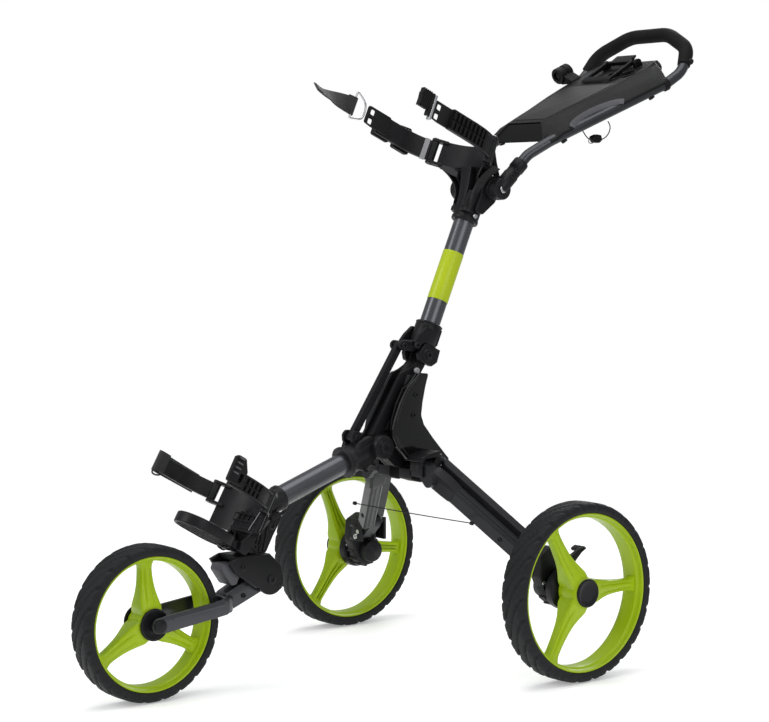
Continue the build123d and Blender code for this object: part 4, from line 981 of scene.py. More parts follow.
parts, screws = [], []
for side in (1, -1):
    base = at(*KNUCKLE_AT, side * 50)
    ahead = (at(-112, 856, side * 62) - base).normalized()
    sleeve = [(0.01, 0), (13.2, 0), (13.6, 3), (13.6, 33), (12.5, 34.5), (12.5, 45), (13.7, 46.5),
              (13.7, 61), (12.8, 63.6), (10.2, 64), (0.01, 64)]
    parts.append(knob(sleeve, facing(base, ahead), 40))
    drum = [(0.01, 33.5), (17.4, 33.5), (18.4, 34.4), (18.4, 39.6), (16.4, 40.6), (16.4, 42.6),
            (18.4, 43.6), (18.4, 58.4), (17.0, 60), (9.4, 60), (8.8, 58.6), (0.01, 58.6)]
    parts.append(knob(drum, wheel_place(at(*KNUCKLE_AT), side), 56))
    for k in range(28):
        turn = Matrix.Rotation(2 * pi * k / 28, 4, "Z")
        tooth = slab([(17.6, -1.1), (18.9, -0.7), (18.9, 0.7), (17.6, 1.1)], 45, 50,
                     wheel_place(at(*KNUCKLE_AT), side) @ turn, bevel=0.2)
        parts.append(tooth)
    across_tube = ahead.cross(Vector((0, 1, 0))).normalized()
    for reach, height in ((0.40, 13.2), (0.62, 12.2)):
        spot = base + ahead * (reach * 0.064)
        outward = Vector((0, side, 0)) * 0.9 - across_tube * 0.35
        spot += outward.normalized() * (height * MM)
        screws.append(socket_screw(spot, outward, 3.6, 2.4))
piece("drum_knuckles", parts, "handle", "casting", ["handle_knuckles"], 40)
piece("knuckle_screws", screws, "handle", "casting")

# the console's frame: X up the deck, Y to the cart's right and Z out of the deck
DECK_SLOPE = radians(24)
DECK_OUT = Vector((sin(DECK_SLOPE), 0, cos(DECK_SLOPE)))
DECK = axes(at(-160, 914), (-cos(DECK_SLOPE), 0, sin(DECK_SLOPE)), DECK_OUT)


def deck(x, left, out):
    """A point up the deck, to the cart's left and out of the deck, in millimetres."""
    return DECK @ (Vector((x, -left, out)) * MM)


def tube_left(x):
    """How far left the handle tube runs under the deck's edge."""
    return 75.0 + (x + 21.0) * 46.0 / 256.0


def crease(x):
    """Half the width of the deck's flat top."""
    if x < 80:
        return 44.0 + 0.09 * max(0.0, x)
    if x < 150:
        return 51.2 + (x - 80) * 0.235
    return 67.6 + (x - 150) * 0.06 - 14.0 * max(0.0, (x - 255) / 37.0) ** 1.6


def edge(x):
    """How far left the console's skirt reaches, over the handle tube."""
    whole = tube_left(x) + 11.0
    notch = 0.0
    if 22 < x < 134:
        notch = 15.0 * sin(pi * (x - 22) / 112) ** 0.55
    if x > 232:
        t = (x - 232) / 58
        whole = whole * (1 - t) + 50.0 * t
    return whole - notch


def rise(x):
    """How far out the deck stands: it falls away at the nose and at its top end."""
    if x < 0:
        return -21.0 * (-x / 27.0) ** 1.15
    if x > 282:
        return -20.0 * ((x - 282) / 10.0) ** 2
    return 0.0


stations = [-27, -22, -15, -8, -3, -0.5, 0.2, 12, 21.5, 22.5, 24, 27, 31, 38, 48, 60, 72, 84, 96, 108, 118,
            125, 129, 132, 133.5, 135, 150, 165, 180, 200, 218, 231, 236, 243, 250, 258, 266, 274, 281, 283,
            286, 289, 292]
rings = []
for x in stations:
    c, e, top = crease(x), edge(x), rise(x)
    if x < 0:
        c = c + 22.0 * (-x / 27.0)
    e = max(e, c + 4.0)
    full = max(tube_left(x) + 11.0, c + 6.0)
    low = top * 0.4 - 20.0 * (e - c) / (full - c)
    low = max(low, -24.0)
    mid_y, mid_n = (c + e) / 2, (top + low) / 2 + 2.4
    floor_n = -9.0 if 0 <= x <= 285 else top - 2.4
    inner_c = c - 3.0
    outer_half = [(inner_c, floor_n), (inner_c + 0.2, top - 0.8), (c, top - 0.4), (c + 1.6, top - 1.4),
                  (mid_y, mid_n), (e - 1.6, low + 0.8), (e, low - 1.2), (e + 0.4, low - 5.4)]
    inner_half = [(e - 1.8, low - 5.6), (e - 2.4, low - 2.4), (mid_y - 1, mid_n - 2.8),
                  (inner_c - 1, floor_n - 2.6)]
    ring = [(-y, n) for y, n in reversed(outer_half)] + outer_half
    ring += inner_half + [(-y, n) for y, n in reversed(inner_half)]
    rings.append([deck(x, y, n) for y, n in ring])
piece("console_cover", [skin(rings)], "handle", "console_shell", ["console_skirt"], 28)

CUP_X, CUP_YS = 222, (-51.0, -16.0)
left_edge = [(x, crease(x) - 0.4) for x in (1, 20, 40, 60, 80, 100, 120, 140, 150, 165, 180, 200, 220, 240,
                                            255, 265, 275, 283, 287)]
outline = left_edge + [(x, -y) for x, y in reversed(left_edge)]
cups = [circle(CUP_X, y, 13.5, 40) for y in CUP_YS]
parts = [slab(outline, -2.2, 0.0, DECK, cups, 0.7)]
panel = rounded([(14, 38), (172, 62), (172, -62), (14, -38)], 5)
piece("console_panel", [slab(panel, -0.6, 0.8, DECK, bevel=0.5)], "handle", "console_top")
# raised ribs that frame the ball recesses and the clip
for y in CUP_YS:
    wall = [(13.4, -8.4), (15.4, -8.4), (15.8, 1.4), (15.2, 2.0), (13.8, 2.0), (13.2, 1.2)]
    parts.append(turned(wall, DECK @ Matrix.Translation((CUP_X * MM, y * MM, 0)), 48))
piece("console_plate", parts, "handle", "console_top", ["console_deck"], 35, M["console_shell"])

parts = []
for y in CUP_YS:
    bowl = [(0.01, -8.6), (8.0, -8.2), (13.6, -5.6), (13.6, -6.6), (8.2, -9.2), (0.01, -9.6)]
    parts.append(knob(bowl, DECK @ Matrix.Translation((CUP_X * MM, y * MM, 0)), 40))
holder_place = axes(deck(196, -103, 13), DECK_OUT, DECK.to_3x3().col[0])
parts.append(turned([(8.6, 0.8), (9.4, 0), (13.6, 0), (15, 1.4), (15, 11), (13.6, 12), (13.6, 17), (15, 18),
                     (15, 28.6), (13.6, 30), (9.4, 30), (8.6, 29.2)], holder_place, 48))
parts.append(knob([(0.01, 4), (5.4, 4), (5.4, 3), (4.4, 2.2), (0.01, 2.2)], holder_place, 24))
parts.append(disc(8.7, 5, 24, holder_place, 32))
foot = rounded([(70, -3), (72, 2), (88, 12), (92, 18), (112, 4), (100, -4)], 3)
parts.append(slab(foot, 199, 223, DECK @ END_ON))
for y in (-40.0, 40.0):
    lug = rounded([(252, -1), (254, 10), (259, 13.4), (265, 13.4), (270, 10), (271, -1)], 3)
    parts.append(side_slab(lug, y + 3.4, y - 3.4, DECK))
piece("console_fittings", parts, "handle", "console_shell", ["console_deck"], 35)

trim = [deck(x, edge(x) + 0.2, -20.0 * (edge(x) - crease(x)) / (tube_left(x) + 11 - crease(x)) + 0.4)
        for x in (21, 23, 26, 30, 38, 48, 60, 72, 84, 96, 106, 116, 124, 129, 132, 134.5)]
piece("console_trim", [along(trim, bar_section(11.0, 1.8, 0.8), DECK_OUT * 0.55 + Vector((0, 0.83, 0)))],
      "handle", "console_shell", material=M["console_grey"])

screws = []
for x in (4, 198):
    spot = deck(x, tube_left(x) + 1.0, -36.6)
    screws.append(socket_screw(spot, -DECK_OUT + Vector((0, 0.5, 0)), 5.6, 4.6))
    screws.append(socket_screw(deck(x, -tube_left(x) - 1.0, -36.6), -DECK_OUT, 5.6, 4.6))
for side in (1, -1):
    collar = [(9.4, 0), (11.6, 0), (12.0, 0.8), (12.0, 8), (11.4, 9), (9.4, 9)]
    start, stop = deck(229, side * tube_left(229), -28), deck(260, side * tube_left(260), -28)
    screws.append(turned(collar, facing(start, stop - start), 40))
piece("console_screws", screws, "handle", "console_shell")

# scorecard clip: a frame that presses on the deck and a lever to lift it by
parts = []
for y in (-32.4, 32.4):
    arm = rounded([(258, 13.2), (200, 6.6), (186, 1.0), (190, 0.9), (262, 5.2), (266, 9)], 1.6)
    parts.append(side_slab(arm, y + 3.1, y - 3.1, DECK))
parts.append(side_slab(rounded([(185.6, 1.0), (189, 4.4), (199, 7.4), (200, 4.6), (191, 0.9)], 1), 35.4,
                       -35.4, DECK, bevel=0.6))
parts.append(side_slab(rounded([(256, 12.2), (280, 16), (281, 13), (266, 5.6), (258, 5)], 1.4), 24, -24,
                       DECK))
clip_pin = wheel_place(deck(262, 0, 9), 1)
parts.append(disc(2.45, -43.5, 43.5, clip_pin, 20))
parts.append(disc(4.2, -29, 29, clip_pin, 24))
piece("card_frame", parts, "clip", "console_shell", ["scorecard_clip"])

CORD_ROUTE = [(-233, 912, 62), (-236, 902, 66), (-243, 889, 69), (-251, 884, 71), (-258, 884, 72),
              (-272, 885, 73), (-281, 886, 73), (-292, 893, 73), (-298, 903, 73), (-299, 911, 72),
              (-297, 918, 68)]
cord_line = smooth_path([at(*p) for p in CORD_ROUTE], 6)
parts = [pipe(cord_line, 1.0, 10)]
curl = [at(*p) for p in ((-246, 887, 75), (-240, 880, 76), (-247, 876, 77), (-256, 880, 76),
                         (-262, 884, 75))]
parts.append(pipe(smooth_path(curl, 6), 0.7, 10))
piece("cord_run", parts, "handle", "cord", ["elastic_cord"])
lock = rounded([(-256, 880), (-252, 890), (-262, 894), (-272, 893), (-275, 884), (-268, 879)], 2.4)
piece("cord_lock", [side_slab(lock, 78, 66, bevel=1.6)], "handle", "console_shell")

# ------------------------------------------------------------------ spine, covers and brace

def lifted(outline, side, low, high, holes=(), bevel=0.8):
    """A plate on one side of the cart, from low to high millimetres out from its middle."""
    return side_slab(outline, side * low, side * high, holes=holes, bevel=bevel)


spine_outline = rounded([(84, 526.5), (90.5, 511), (102, 500), (114, 493.5), (128.5, 488.5), (137, 476),
                         (190, 389), (188, 360), (168, 355), (140, 331), (62, 331), (66, 344), (100, 384),
                         (108, 420), (102, 446), (90, 480), (66.5, 513)], 5)
core_outline = rounded([(80, 524), (90.5, 511), (102, 500), (113, 492), (121, 482), (184, 388), (186, 360),
                        (168, 356), (140, 332), (63, 332), (67, 344), (100, 384), (107, 420), (101, 446),
                        (89, 480), (68, 513)], 4)
parts = [side_slab(core_outline, 9.2, -9.2)]
for side in (1, -1):
    parts.append(lifted(spine_outline, side, 8.8, 14.0))
    # a round rod lies along the plate and ends in a slot
    rod = [at(112, 484, side * 15.5), at(121, 462, side * 16.5), at(127, 446, side * 16.5),
           at(132, 434, side * 15.5)]
    parts.append(pipe(rod, [5.2, 6.2, 6.2, 5.0], 20))
    slot_line = [at(135, 428, side * 13.6), at(158, 392, side * 13.6)]
    parts.append(along(slot_line, bar_section(3.0, 12, 1.0), Vector((0.55, 0, 0.83))))
    for forward, height in ((117, 453), (122, 419)):
        spot = wheel_place(at(forward, height), side)
        parts.append(disc(6.0, 13, 34.4, spot, 24))
    # the forked mount of the leg
    base = rounded([(72, 331), (132, 331), (132, 312), (112, 306), (90, 308), (72, 318)], 4)
    parts.append(lifted(base, side, 13, 46))
    inner_plate = rounded([(90.8, 318), (104.2, 318), (104.2, 343), (98, 354), (90.8, 356)], 3)
    outer_plate = pad(128.4, 318, 132, 342.6, 1.5)
    parts.append(lifted(inner_plate, side, 42, 74, bevel=1.2))
    hood = rounded([(94, 356.4), (96, 361), (118, 357.5), (133, 352), (134, 343), (130.5, 344),
                    (126, 348.6), (98, 350.4)], 2)
    parts.append(lifted(hood, side, 30, 77, bevel=1.6))
    parts.append(lifted(outer_plate, side, 42, 74, bevel=0.8))
    eye = wheel_place(at(*BARREL_AT), side)
    parts.append(disc(13.6, 14, 14.6, eye, 36))
piece("spine_body", parts, "spine", "casting", ["spine_casting"], 40)

cover_points = [(108, 488), (135, 466), (150, 440), (162, 412), (166, 396), (165, 384), (156, 367),
                (132, 344), (114, 334), (46, 333), (43, 341), (52, 350), (78, 378), (98, 402), (104, 418),
                (101, 440), (95, 466), (88, 488)]
cover_radii = [4, 20, 30, 18, 12, 12, 14, 14, 6, 3, 4, 10, 14, 12, 14, 24, 20, 4]
cover_face = rounded(cover_points, cover_radii, 5)
for name, side in (("left", 1), ("right", -1)):
    inner = []
    for i in range(len(cover_face)):
        ahead = (cover_face[(i + 1) % len(cover_face)] - cover_face[i - 1]).normalized()
        inner.append(cover_face[i] + Vector((ahead.y, -ahead.x)) * 2.4)
    parts = [lifted(cover_face, side, 35.0, 38.3, bevel=1.2)]
    parts.append(lifted(cover_face, side, 24.5, 36.6, holes=[inner], bevel=0.8))
    # the raised panel on the cover, and the band behind it
    panel_points = [(112, 482), (132, 463), (146, 438), (157, 411), (160, 396), (159, 386), (151, 371),
                    (130, 350), (113, 341), (60, 340), (80, 366), (101, 392), (111, 414), (109, 440),
                    (103, 466), (99, 482)]
    panel_face = rounded(panel_points, 8)
    parts.append(lifted(panel_face, side, 37.6, 39.0, bevel=0.6))
    flange = rounded([(43, 332.4), (114, 333), (117, 336), (114, 338), (45, 338)], 1.4)
    parts.append(lifted(flange, side, 30, 41.2, bevel=0.9))
    piece(f"side_cover_{name}", parts, "spine", "cover_gloss", [f"cover_{name}"], 38)

parts = []
for side in (1, -1):
    outward = (0, side, 0)
    for forward, height in ((117, 453), (122, 419)):
        parts.append(socket_screw(at(forward, height, side * 38.9), outward, 4.4, 2.6))
    for forward, height in ((113, 353), (59, 344)):
        dome = [(0.01, 0), (3.0, 0), (2.8, 0.9), (1.8, 1.7), (0.01, 2.0)]
        parts.append(knob(dome, facing(at(forward, height, side * 38.6), outward), 20))
    parts.append(socket_screw(at(160, 386, side * 14.0), outward, 3.4, 2.6))
for side in (1, -1):
    for forward, back, front, height in ((116.3, -14, 16, 333.4), (86.3, -6, 15, 347.4)):
        pin = [(0.01, back), (3.9, back), (3.9, front - 1.4), (5.4, front - 1.2), (5.2, front),
               (0.01, front)]
        parts.append(knob(pin, facing(at(forward, height, side * 62), (1, 0, 0)), 24))
piece("cover_bolts", parts, "spine", "casting", ["spine_fasteners"])

button = [(0.01, 18.7), (4.8, 18.7), (5.0, 19.2), (5.0, 22.6), (4.2, 23.8), (0.01, 24)]
piece("push_button", [knob(button, wheel_place(at(100, 492), 1), 28)], "button", "button_grey",
      ["release_button"])

# the brace is a flat dark bar with a shallow ridged face
foot_at, head_at = at(*STRUT_FOOT), at(*STRUT_HEAD)
lean = (head_at - foot_at).normalized()
STRUT = axes(foot_at, Vector((0, 1, 0)).cross(lean), lean)
length = (head_at - foot_at).length / MM
end_angles = [radians(a) for a in range(15, 180, 15)]
bar_outline = [(-6.5, 0), (-6.5, length)]
bar_outline += [(6.5 * cos(pi - a), length + 6.5 * sin(a)) for a in end_angles]
bar_outline += [(6.5, length), (6.5, 0)]
bar_outline += [(6.5 * cos(a), -6.5 * sin(a)) for a in end_angles]
parts = [side_slab(bar_outline, 5.4, -5.4, STRUT, [circle(0, 0, 4.1, 24), circle(0, length, 4.6, 24)], 1.0)]
for side in (1, -1):
    for k in range(13):
        z0 = 14 + k * (length - 34) / 12
        rung = [(-5.2, z0), (5.2, z0 + 3), (5.2, z0 + 6.2), (-5.2, z0 + 3.2)]
        parts.append(side_slab(rung, side * 5.2, side * 5.9, STRUT, bevel=0.15))
for z0 in (0, length):
    for side in (1, -1):
        parts.append(knob([(4.7, 5), (6.4, 5), (6.4, 6.6), (6.0, 7), (4.7, 7)],
                          wheel_place(foot_at + lean * (z0 * MM), side), 28))
piece("brace_bar", parts, "strut", "carrier", ["brace_strut"])

# collar: cheeks, a front lug for the brace and a foot for the tube
parts = []
for side in (1, -1):
    cheek = rounded([(-24, -4), (-22, 17.4), (12, 17.4), (16, 7), (20, -4), (12, -15), (-15, -15)], 4)
    parts.append(side_slab(cheek, side * 14.5, side * 24.0, UPPER, bevel=1.4))
    boss = wheel_place(pivot("collar_swing"), side)
    parts.append(knob([(0.01, 14.5), (11, 14.5), (11, 24.5), (10, 25.6), (0.01, 25.6)], boss, 36))
parts.append(side_slab(rounded([(-22, 12.8), (-22, 17.4), (12, 17.4), (12, 12.8)], 1), 23.8, -23.8, UPPER,
                       bevel=0.8))
hinge_at, brace_at = [UPPER.inverted() @ p / MM for p in (pivot("tube_fold"), at(*STRUT_HEAD))]
lug = [(8, 12.9), (8, 17.4)]
lug += [(hinge_at.x + 8 * cos(radians(a)), hinge_at.z + 8 * sin(radians(a))) for a in range(150, -60, -20)]
parts.append(side_slab(lug + [(18, 7)], 14.4, -14.4, UPPER, bevel=1.0))
for side in (1, -1):
    tongue = [(18, 7.1), (24, 13)]
    tongue += [(brace_at.x + 8.5 * cos(radians(a)), brace_at.z + 8.5 * sin(radians(a)))
               for a in range(80, -110, -20)]
    parts.append(side_slab(tongue + [(22, -2)], side * 9.1, side * 13.9, UPPER, bevel=0.9))
piece("collar_cheeks", parts, "collar", "casting", ["collar_casting"], 40)
parts = []
for side in (1, -1):
    parts.append(socket_screw(pivot("collar_swing") + Vector((0, side * 25.4 * MM, 0)), (0, side, 0), 6.2,
                              3.0))
    parts.append(socket_screw(pivot("tube_fold") + Vector((0, side * 22.6 * MM, 0)), (0, side, 0), 5.4,
                              3.4))
    parts.append(socket_screw(at(*STRUT_HEAD, side * 14.2), (0, side, 0), 5.0, 2.8))
piece("collar_bolts", parts, "collar", "casting", ["collar_pins"])

socket_profile = [(17.4, 18.3), (22.4, 18.3), (23.0, 19.2), (23.0, 50), (22.4, 52), (23.4, 53), (23.4, 55),
                  (22, 56), (17.6, 56)]
parts = [turned(socket_profile, UPPER, 56)]
for side in (1, -1):
    ear = rounded([(4, 18.6), (13, 18.6), (21, 9), (36, 9), (30, 26), (20, 44), (4, 44)], 4)
    parts.append(side_slab(ear, side * 15.1, side * 22.4, UPPER, bevel=1.2))
    rib_outline = pad(-16, 22, -12, 50, 1)
    parts.append(side_slab(rib_outline, side * 15.5, side * 19.5, UPPER, bevel=0.6))
parts.append(disc(17.6, 18.1, 22, UPPER, 40))
piece("tube_sleeve", parts, "upper", "casting", ["tube_socket"], 40)

# the lime band's film wraps the tube
band_profile = [(17.55, 98.6), (18.0, 98.5), (18.1, 98.9), (18.1, 186.6), (18.0, 187.0), (17.55, 186.9)]
piece("tube_film", [turned(band_profile, UPPER, 72)], "upper", "lime_band", ["tube_band"])

# ------------------------------------------------------------------ boom hub

BOOM_DROP = radians(19.8)
BOOM = axes(at(241.7, 343.3), (sin(BOOM_DROP), 0, cos(BOOM_DROP)), (cos(BOOM_DROP), 0, -sin(BOOM_DROP)))
flange = [(17.6, -7.6), (23.6, -7.6), (26.8, -6.6), (27.2, -5.4), (27.2, -1.4), (26.2, 0), (22.0, 0.4),
          (17.6, 0.4)]
socket_end = [(17.6, -42), (22, -42), (23.7, -40), (23.7, -7), (17.6, -7)]
parts = [turned(flange, BOOM, 72), turned(socket_end, BOOM, 72)]
for side in (1, -1):
    barrel = [(0.01, 15.2), (19.4, 15.2), (20.4, 16.4), (20.4, 31), (19.2, 33.2), (12, 34), (0.01, 34)]
    parts.append(knob(barrel, wheel_place(at(*BARREL_AT), side), 56))
    outer = rounded([(184, 384), (200, 388), (224, 380), (231, 360), (226, 334), (210, 329), (188, 346)], 8)
    parts.append(lifted(outer, side, 12, 23.4, bevel=4))
    parts.append(lifted(rounded([(194, 378), (226, 366), (228, 361), (195, 372)], 2), side, 21, 25.2,
                        bevel=1.2))
    lug = rounded([(208, 380), (213, 393), (219, 397), (227, 397), (233, 390), (232, 376)], 5)
    parts.append(lifted(lug, side, 9.2, 14.2))
piece("hub_shell", parts, "boom_frame", "casting", ["boom_hub"], 38)
bolts = []
for side in (1, -1):
    bolts.append(socket_screw(at(*BARREL_AT, side * 33.8), (0, side, 0), 9.0, 2.4))
    bolts.append(socket_screw(at(*STRUT_FOOT, side * 14.2), (0, side, 0), 5.2, 2.4))
    bolts.append(socket_screw(at(212, 331, side * 24.2), (0, side, 0), 3.4, 2.6))
    bolts.append(socket_screw(at(194, 340, side * 22), (0, side, 0), 3.4, 2.6))
    bolts.append(socket_screw(at(*FORK_PIN, side * 30.0), (0, side, 0), 7.4, 2.4))
    bolts.append(socket_screw(at(462, 196, side * 30.0), (0, side, 0), 4.6, 2.4))
piece("frame_bolts", bolts, "boom_frame", "casting", ["frame_pins"])

# ------------------------------------------------------------------ lower bag bracket

LOWER_CENTRE, LOWER_LOW, LOWER_HIGH = 112.0, -30.0, 8.0
lower_place = cradle(LOWER, LOWER_CENTRE)
parts = [band(lower_place, 6.6, -62, LOWER_HIGH, 136, 224, 2.2, 44)]
for angle in (146, 158, 170, 190, 202, 214):
    outline = [(CRADLE_R + 5, -60), (CRADLE_R + 9, -60), (CRADLE_R + 11, -20), (CRADLE_R + 8, 4),
               (CRADLE_R + 5, 6)]
    parts.append(rib(lower_place, outline, 2.6, angle))
# the smooth front plate narrows towards the fork mount
rings = []
for z, w, x in ((-60, 37, 22.8), (-57, 38.5, 22.4), (-50, 42, 21.6), (-44, 45, 21), (-30, 50, 19.5)):
    y_list = [-1, -0.7, -0.35, 0, 0.35, 0.7, 1]
    front = [(x + 5.0 * (1 - k * k), k * w) for k in y_list]
    back = [(x - 7, k * (w - 3)) for k in reversed(y_list)]
    rings.append(placed(LOWER, [(fx, fy, z) for fx, fy in front + back]))
parts.append(skin(rings))
clamp = [(17.6, 134), (20.4, 134), (21.2, 135.4), (21.2, 141), (20.2, 143), (20.2, 168), (19.4, 170.5),
         (17.6, 170.5)]
parts.append(turned(clamp, BOOM, 64))
parts.append(disc(17.8, 169, 171.2, BOOM, 40))
for side in (1, -1):
    wall = rounded([(384, 279), (402, 272), (440, 262), (448, 236), (446, 214), (412, 214), (398, 240),
                    (380, 268)], 6)
    parts.append(lifted(wall, side, 15.6, 22.2, bevel=1.6))
    ear = rounded([(13, -58), (24, -58), (36, -80), (34, -95), (20, -96), (15, -86)], 5)
    parts.append(side_slab(ear, side * 26.2, side * 32.0, LOWER, bevel=1.2))
    rail = rounded([(374, 281), (404, 270), (404, 264), (376, 274)], 2)
    parts.append(lifted(rail, side, 21, 25.4, bevel=1.2))
parts.append(side_slab(rounded([(412, 292), (440, 262), (444, 214), (430, 214), (420, 250), (398, 278)], 4),
                       16.5, -16.5))
for y in (-34.0, -20.0, -7.0, 7.0, 20.0, 34.0):
    web = rounded([(17, -57), (24.5 + 2.4 * (1 - abs(y) / 40), -55), (27.5 - abs(y) * 0.05, -32), (25, -26),
                   (17, -26)], 1.2)
    parts.append(side_slab(web, y + 1.2, y - 1.2, LOWER, bevel=0.5))
for z in (-55.0, -43.0, -31.0):
    ledge = rounded([(16, -36), (25, -34), (28.6, 0), (25, 34), (16, 36)], 3)
    parts.append(slab(ledge, z, z + 2.2, LOWER, bevel=0.5))
for side in (1, -1):
    for forward, height, r in ((402, 256, 6.4), (424, 250, 5.0), (436, 226, 5.6), (424, 230, 3.6)):
        boss = [(0.01, 21), (r, 21), (r, 24.6), (r * 0.84, 25.4), (r * 0.5, 25.4), (r * 0.46, 23.6),
                (0.01, 23.4)]
        parts.append(knob(boss, wheel_place(at(forward, height), side), 24))
    for k in range(3):
        low_rib = rounded([(406 + 9 * k, 266 - 3 * k), (409 + 9 * k, 266 - 3 * k), (420 + 8 * k, 217),
                           (417 + 8 * k, 217)], 0.8)
        parts.append(lifted(low_rib, side, 21, 24, bevel=0.6))
parts += hinge_barrels(LOWER, LOWER_CENTRE, LOWER_LOW, LOWER_HIGH)
piece("lower_casting", parts, "boom_frame", "casting", ["lower_bracket"], 40)

LOW_ARM = (LOWER_LOW + 5.4, LOWER_HIGH - 5.4)
near = cradle_arm(LOWER, LOWER_CENTRE, 1, *LOW_ARM, 150, True)
piece("low_near_arm", near, "lower_left", "cradle_arm", ["lower_arm_left"])
far = cradle_arm(LOWER, LOWER_CENTRE, -1, *LOW_ARM, 150, False)
piece("low_far_arm", far, "lower_right", "cradle_arm", ["lower_arm_right"])

parts = []
tab = rounded([(132, -22), (162, -22), (163, 18), (158, 22), (144, 22), (132, 4)], 4)
window = pad(137, -16, 143, -2, 2)
parts.append(side_slab(tab, 102.4, 109.6, LOWER, [window], 1.4))
for k in range(4):
    parts.append(side_slab(pad(147, -8 + 8 * k, 161, -3.6 + 8 * k, 1), 108.8, 112.6, LOWER, bevel=1.0))
piece("low_tab", parts, "lower_left", "cradle_arm", ["lower_buckle"])
teeth = []
for k in range(4):
    teeth.append(side_slab(pad(149, -7 + 8 * k, 159, -4.6 + 8 * k, 0.8), 112.2, 113.6, LOWER, bevel=0.5))
piece("low_tab_teeth", teeth, "lower_left", "cradle_arm", material=M["console_grey"])

# the far arm is wrapped in a strap whose folded end hangs over its tip
wrap_line = placed(LOWER, (
    (74, -103.6, -9.5), (98, -104.4, -9.5), (124, -104.8, -9.5), (146, -104.4, -9.5), (158, -103.0, -9.5),
    (165.5, -98, -9.5), (165.5, -91.5, -9.5), (158, -88.6, -9.5), (148, -88.4, -9.5)))
wrap = smooth_path(wrap_line, 7)
widths = [bar_section(2.6, 32 + 3.0 * sin(pi * i / (len(wrap) - 1)), 0.9) for i in range(len(wrap))]
piece("low_strap", [along(wrap, widths, LOWER_LEAN)], "lower_right", "webbing", ["lower_strap"], 50)
ring_points = placed(LOWER, (
    (146, -96, -27), (152, -95, -31), (163, -94, -33), (166, -93.6, -27), (160, -93.6, -22),
    (150, -94, -20), (146, -95, -23)))
piece("low_strap_ring", [wire_ring(ring_points, 1.4)], "lower_right", "webbing")

# the ring that the bag's edge rests on
REST = LOWER @ Matrix.Translation(Vector((88, 0, 0)) * MM)
outer = slot_hole(108, 74)
inner = slot_hole(97, 63)
parts = [slab(outer, -95, -77, REST, [inner], 2.2)]
for y in (-21.0, -7.0, 7.0, 21.0):
    reach = 47 if abs(y) < 20 else 40
    slat = pad(-reach - 2, y - 1.7, reach + 2, y + 1.7, 1)
    parts.append(slab(slat, -94.5, -91.5, REST, bevel=0.7))
neck_shape = rounded([(26, -78), (44, -80), (44, -92), (26, -94)], 3)
parts.append(side_slab(neck_shape, 24.6, -24.6, LOWER, bevel=1.4))
parts.append(knob([(0.01, -24.8), (8, -24.8), (8.5, -24), (8.5, 24), (8, 24.8), (0.01, 24.8)],
                  wheel_place(LOWER @ (Vector((26, 0, -86)) * MM), 1), 28))
piece("rest_ring", parts, "bag_rest", "casting", ["bag_rest_ring"], 38)

# thin cord across the front of the lower casting
cord_points = placed(LOWER, ((24, 34, 6), (25.5, 30, -18), (26, 26, -36), (27, 22, -56)))
piece("bracket_cord", [pipe(smooth_path(cord_points, 6), 0.8, 8)], "boom_frame", "steel",
      material=M["button_grey"])

# ------------------------------------------------------------------ fork

parts = []
for side in (1, -1):
    lobe = [(407 + 25 * cos(radians(a)), 171 + 25 * sin(radians(a))) for a in range(-25, -185, -12)]
    plate = [Vector(p) for p in [(388, 193), (410, 213.4), (470, 213.4), (489, 206), (476, 187),
                                 (436, 160)] + lobe]
    parts.append(lifted(plate, side, 22.0, 30.0, bevel=2.2))
    parts.append(knob([(0.01, 29), (4.6, 29), (4.6, 29.6), (3.8, 29.6), (3.8, 30.4), (0.01, 30.4)],
                      wheel_place(at(391, 158), side), 20))
parts.append(side_slab(rounded([(410, 213.4), (470, 213.4), (470, 205), (402, 205)], 2), 22.4, -22.4))
piece("mount_cheeks", parts, "boom_frame", "casting", ["fork_mount"], 40)

latch_shape = rounded([(455, 200), (490, 202), (494, 192), (476, 166), (466, 168), (456, 188)],
                      [3, 4, 5, 6, 4, 4])
parts = [side_slab(latch_shape, 18, -18, bevel=2.0)]
piece("latch_lever", parts, "latch", "button_grey", ["fork_latch"], material=M["console_grey"])

parts = []
for side in (1, -1):
    arm_shape = rounded([(493, 151.6), (612, 137), (632, 134), (638, 122.7), (632, 111), (612, 110.6),
                         (493, 126.4)],
                        [9, 6, 10, 12, 10, 6, 9], 6)
    parts.append(lifted(arm_shape, side, 33.4, 39.6, bevel=2.2))
    groove = rounded([(504, 145), (600, 133.4), (600, 129.6), (504, 141)], 2)
    parts.append(lifted(groove, side, 39.2, 40.6, bevel=0.6))
# the crown is a U seen from above
outer_bend = [(508, 39.4), (498, 38.8), (486, 33), (478, 24), (473, 13)]
inner_bend = [(491, 8), (493, 18), (498, 27), (504, 32), (508, 33.6)]
u_shape = outer_bend + [(f, -y) for f, y in reversed(outer_bend)]
u_shape += [(f, -y) for f, y in reversed(inner_bend)] + inner_bend
parts.append(slab(rounded(u_shape, 3), 127, 151, axes(at(0, 0), (1, 0, 0), (0, 0, 1)), bevel=2.4))
neck = [(400, 157), (395, 176), (404, 189), (418, 187), (486, 154), (487, 129), (470, 128.6)]
parts.append(side_slab(rounded(neck, 8), 15, -15, bevel=2.4))
parts.append(knob([(0.01, -15.4), (19, -15.4), (20, -14.4), (20, 14.4), (19, 15.4), (0.01, 15.4)],
                  wheel_place(at(*FORK_PIN), 1), 44))
piece("fork_body", parts, "fork", "tube_paint", ["fork_yoke"], 38, M["handle_paint"])
bolts = []
for side in (1, -1):
    cap = [(0.01, 39.6), (11.4, 39.6), (11.6, 41), (10.6, 43.4), (7, 44.6), (0.01, 44.8)]
    bolts.append(knob(cap, wheel_place(FRONT_AXLE, side), 36))
piece("front_bolts", bolts, "fork", "hub_cap", ["front_axle"])
